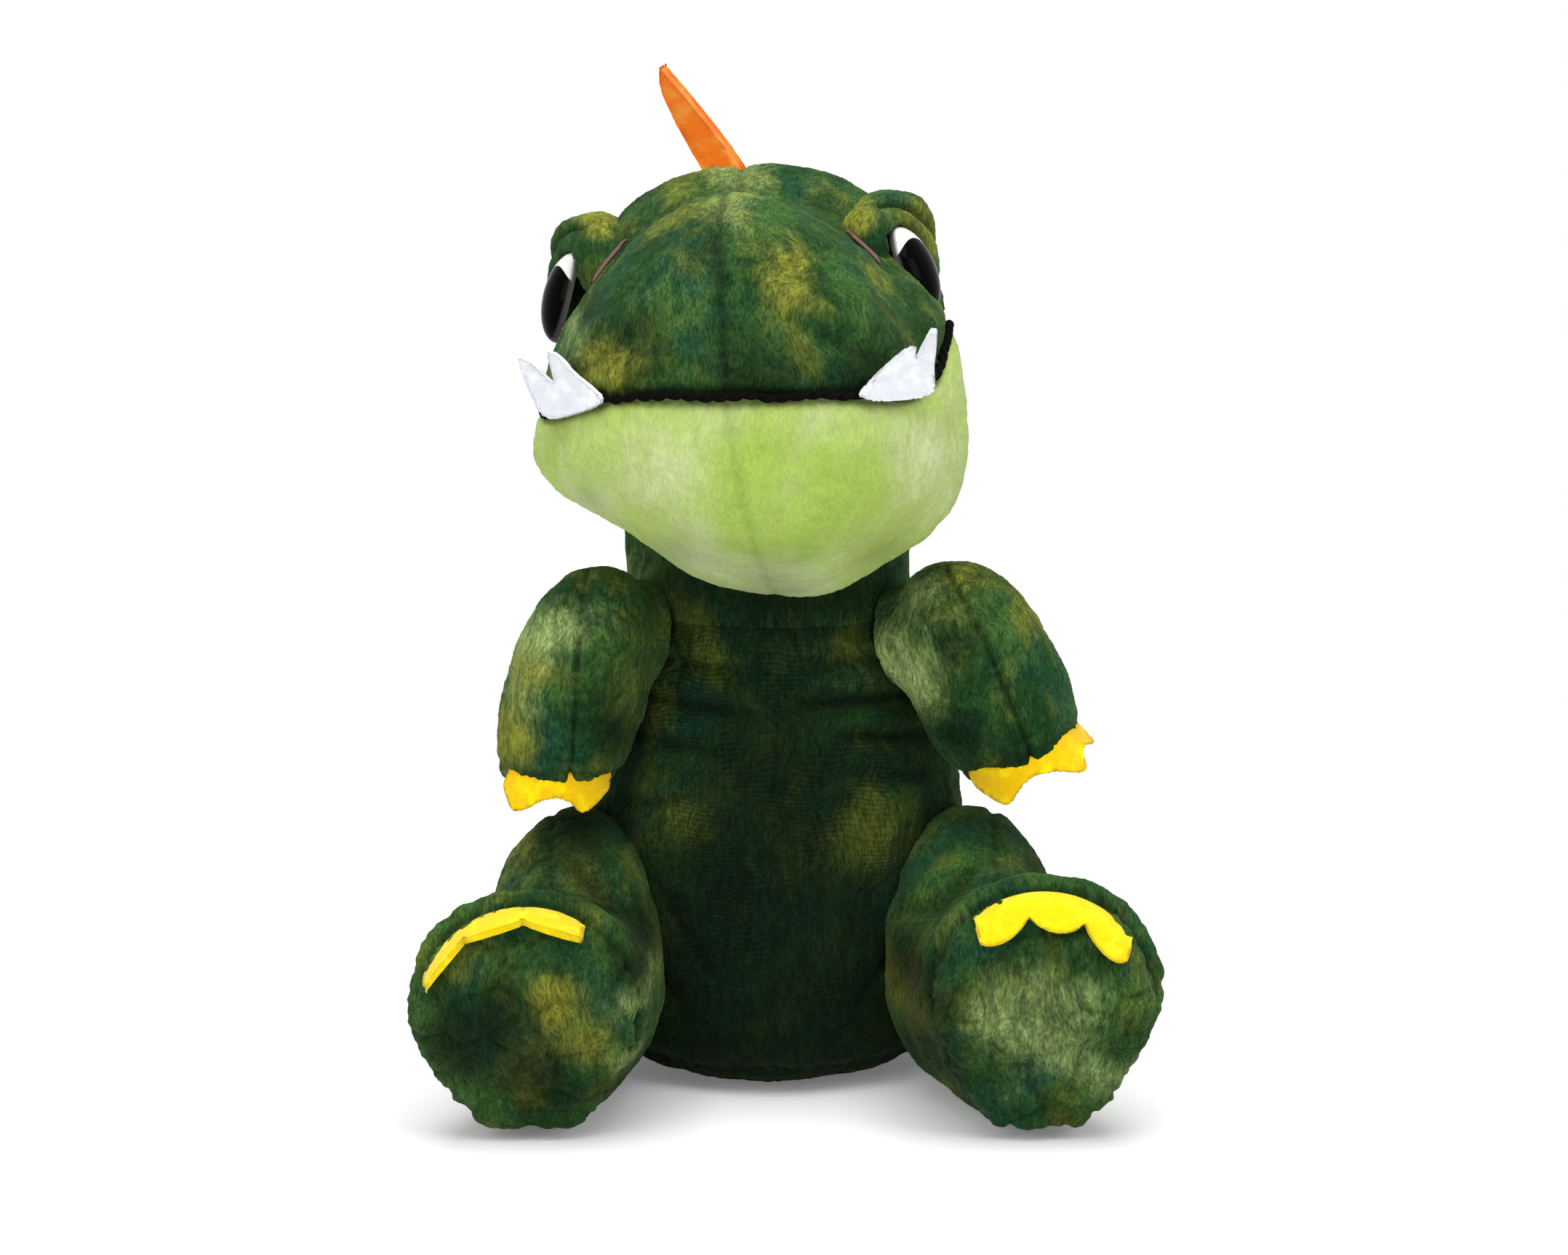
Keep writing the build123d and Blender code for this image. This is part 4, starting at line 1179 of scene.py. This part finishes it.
tail = blown_up(70, np.array([0, 38.0, 0]), tail_solid, 120.0)
relief(tail, 81, tail_relief)
piece = to_piece("tail_plush", tail, green_plush, TAIL)
dye_and_shade(piece, olive=[(10, 40, 10, 0.8), (-14, 20, 9, 0.7)], pale=[(-6, 30, 9, 0.6)], dark_dye_and_shade=[(12, 18, 10, 0.5)])
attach(piece, "tail")
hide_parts("tail_skin", "tail_stuffing")

# ---- Spikes ------------------------------------------------------------------------------
# Orange felt leaves, each folded lengthwise and sewn into the centre seam from the crown
# down to the tail, smaller towards its end.

# a clean flat orange with a deeper one between its fibres, so that it glows without shine
orange_felt = felt("orange_felt", "#ff9a36", "#ff8a20", "#ff6c10")


def leaf_at(length, splay, bend):
    """Folded leaf: its fold runs up the front, and its two sides open towards the root."""

    def place_at(u, v, w):
        share = np.clip(v / length, -0.3, 1)
        open_by = splay * (1 - np.clip(share, 0, 1)) ** 0.7 + radians(9)
        across = u * np.sin(open_by) + np.sign(u) * 0.75
        across += w * np.cos(open_by) * np.sign(u + 1e-9)
        back = np.abs(u) * np.cos(open_by) - w * np.sin(open_by)
        return np.column_stack([across + bend * share**2, back, v])

    return place_at


def leaf_outline(length, width):
    """One side of the leaf, from below its root up to the tip and back down the fold."""
    edge = [(0.05, -4.0)]
    for share in np.linspace(-0.12, 1, 14):
        round_off = max(sin(pi * (0.5 + 0.5 * max(share, 0))), 0) ** 0.5
        edge.append((width * round_off, length * share))
    return edge + [(0.05, length)]


crown = HEAD @ Matrix.Translation((2, -8, 98)) @ turned(-30, "Y") @ turned(52, "Z")
nape = HEAD @ Matrix.Translation((0, 42, 74)) @ turned(-62, "X")
upper_back = Matrix.Translation((0, 52, 143)) @ turned(-66, "X")
lower_back = Matrix.Translation((0, 57, 112)) @ turned(-72, "X")
tail_root = TAIL @ Matrix.Translation((0, 34, 21)) @ turned(-20, "X")
tail_end = TAIL @ Matrix.Translation((0, 56, 13)) @ turned(-22, "X")
# body, node, root, length, width of one side, and how far the tip bends sideways
spikes = [
    ("head", "head_spike_1", crown, 47, 12, -4),
    ("head", "head_spike_2", nape, 33, 15, 0),
    ("trunk", "back_spike_1", upper_back, 27, 16, 0),
    ("trunk", "back_spike_2", lower_back, 25, 15, 0),
    ("tail", "tail_spike_1", tail_root, 18, 12, 0),
    ("tail", "tail_spike_2", tail_end, 14, 9, 0),
]
for number, (body, node, root, length, width, bend) in enumerate(spikes):
    at = leaf_at(length, radians(16), bend)
    outline = leaf_outline(length, width)
    leaf = bmesh.new()
    for fold in (1, -1):
        half_leaf = cut_sheet(
            outline, cell=2.4, place_at=lambda u, v, w: at(fold * u, v, w), thickness=1.6,
            seed=90 + number,
        )
        add_to(leaf, half_leaf)
    bmesh.ops.recalc_face_normals(leaf, faces=leaf.faces)
    piece = to_piece(f"{node}_felt", leaf, orange_felt, root)
    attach(piece, body)
    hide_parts(node)

# ---- Hidden parts ------------------------------------------------------------------------
# The washers that lock the eyes: moulded nylon rings, pushed along each eye's post from
# inside the head until they grip the cloth.

# milky and half matt, with the slight cloudiness of an unpainted moulding
nylon, tree, shader, place = new_material("nylon_washer", 0.5)
grain = add_node(tree, "TexNoise", i0=place, Scale=1 / 0.0015)
colour = add_node(tree, "Mix", rgba, out=2, i0=grain, i6=linear("#dcdcd6"), i7=linear("#eeeee8"))
feed(tree, shader, Base_Color=colour)
for side_name in SIDES:
    washer = bpy.data.objects[f"eye_washer_{side_name}"]
    for slot in washer.material_slots:
        slot.material = nylon

# ---- Stage -------------------------------------------------------------------------------
# The toy sits on a sheet of white paper under three softboxes. The paper keeps the soft
# shadow, and fades into the white round it.

bpy.ops.mesh.primitive_plane_add(size=30)
floor = bpy.context.object
floor.name = "floor"


def in_sight(tree):
    """1 for what the eye sees, straight or in a reflection, and 0 for light on its way."""
    rays = add_node(tree, "LightPath").node.outputs
    seen = rays["Is Camera Ray"]
    for way in ("Is Glossy Ray", "Is Transmission Ray"):
        seen = add_node(tree, "Math", {"operation": "MAXIMUM"}, i0=seen, i1=rays[way])
    return seen


# matt white with no highlight: all that shows on it is the shadow
paper, tree, shader, place = new_material("white_paper", 0.9)
feed(tree, shader, Base_Color=linear("#f4f4f4"), Specular_IOR_Level=0.0)
seen = in_sight(tree)
sheet = shader.outputs[0]
glow = add_node(tree, "Emission", Color=(1, 1, 1, 1), Strength=0.14)
lit = add_node(tree, "AddShader", i0=sheet, i1=glow)
near_sheet = add_node(tree, "MixShader", i0=seen, i1=sheet, i2=lit)
white = add_node(tree, "Emission", Color=(1, 1, 1, 1), Strength=1.0)
away = add_node(tree, "VectorMath", {"operation": "LENGTH"}, out="Value", i0=place)
far_off = add_node(tree, "MapRange", smooth, i0=away, i1=0.26, i2=0.6)
far_off = add_node(tree, "Math", {"operation": "MULTIPLY"}, i0=far_off, i1=seen)
shown = add_node(tree, "MixShader", i0=far_off, i1=near_sheet, i2=white)
feed(tree, tree.nodes["Material Output"], Surface=shown)
floor.data.materials.append(paper)

# white all round to the eye, and dimmer as a light, so that the softboxes give the shape
world = bpy.data.worlds.new("studio")
bpy.context.scene.world = world
world.use_nodes = True
tree = world.node_tree
strength = add_node(tree, "MapRange", i0=in_sight(tree), i3=0.32, i4=1.0)
feed(tree, tree.nodes["Background"], Color=(1, 1, 1, 1), Strength=strength)

toy_middle = Vector((0, 0, 0.17))
for name, place, size, energy in (
    ("overhead_softbox", (0.0, -0.35, 1.3), 1.2, 19.0),
    ("left_softbox", (-0.9, -1.3, 0.9), 1.0, 9.0),
    ("right_softbox", (1.1, -0.9, 0.9), 0.8, 6.0),
):
    lamp = bpy.data.lights.new(name, "AREA")
    lamp.size, lamp.energy = size, energy
    lamp_object = bpy.data.objects.new(name, lamp)
    lamp_object.location = place
    aim = toy_middle - lamp_object.location
    lamp_object.rotation_euler = aim.to_track_quat("-Z", "Y").to_euler()
    bpy.context.scene.collection.objects.link(lamp_object)

# 1.5 m in front of the toy, and looking down at it
look_down = 11
camera_data = bpy.data.cameras.new("camera")
camera_data.sensor_width = 36.0
camera_data.lens = 100.2
camera = bpy.data.objects.new("camera", camera_data)
camera.location = (0.00375, -1.5, 0.4456)
camera.rotation_euler = (radians(90 - look_down), 0, 0)
bpy.context.scene.collection.objects.link(camera)
bpy.context.scene.camera = camera
bpy.context.scene.view_settings.view_transform = "Standard"
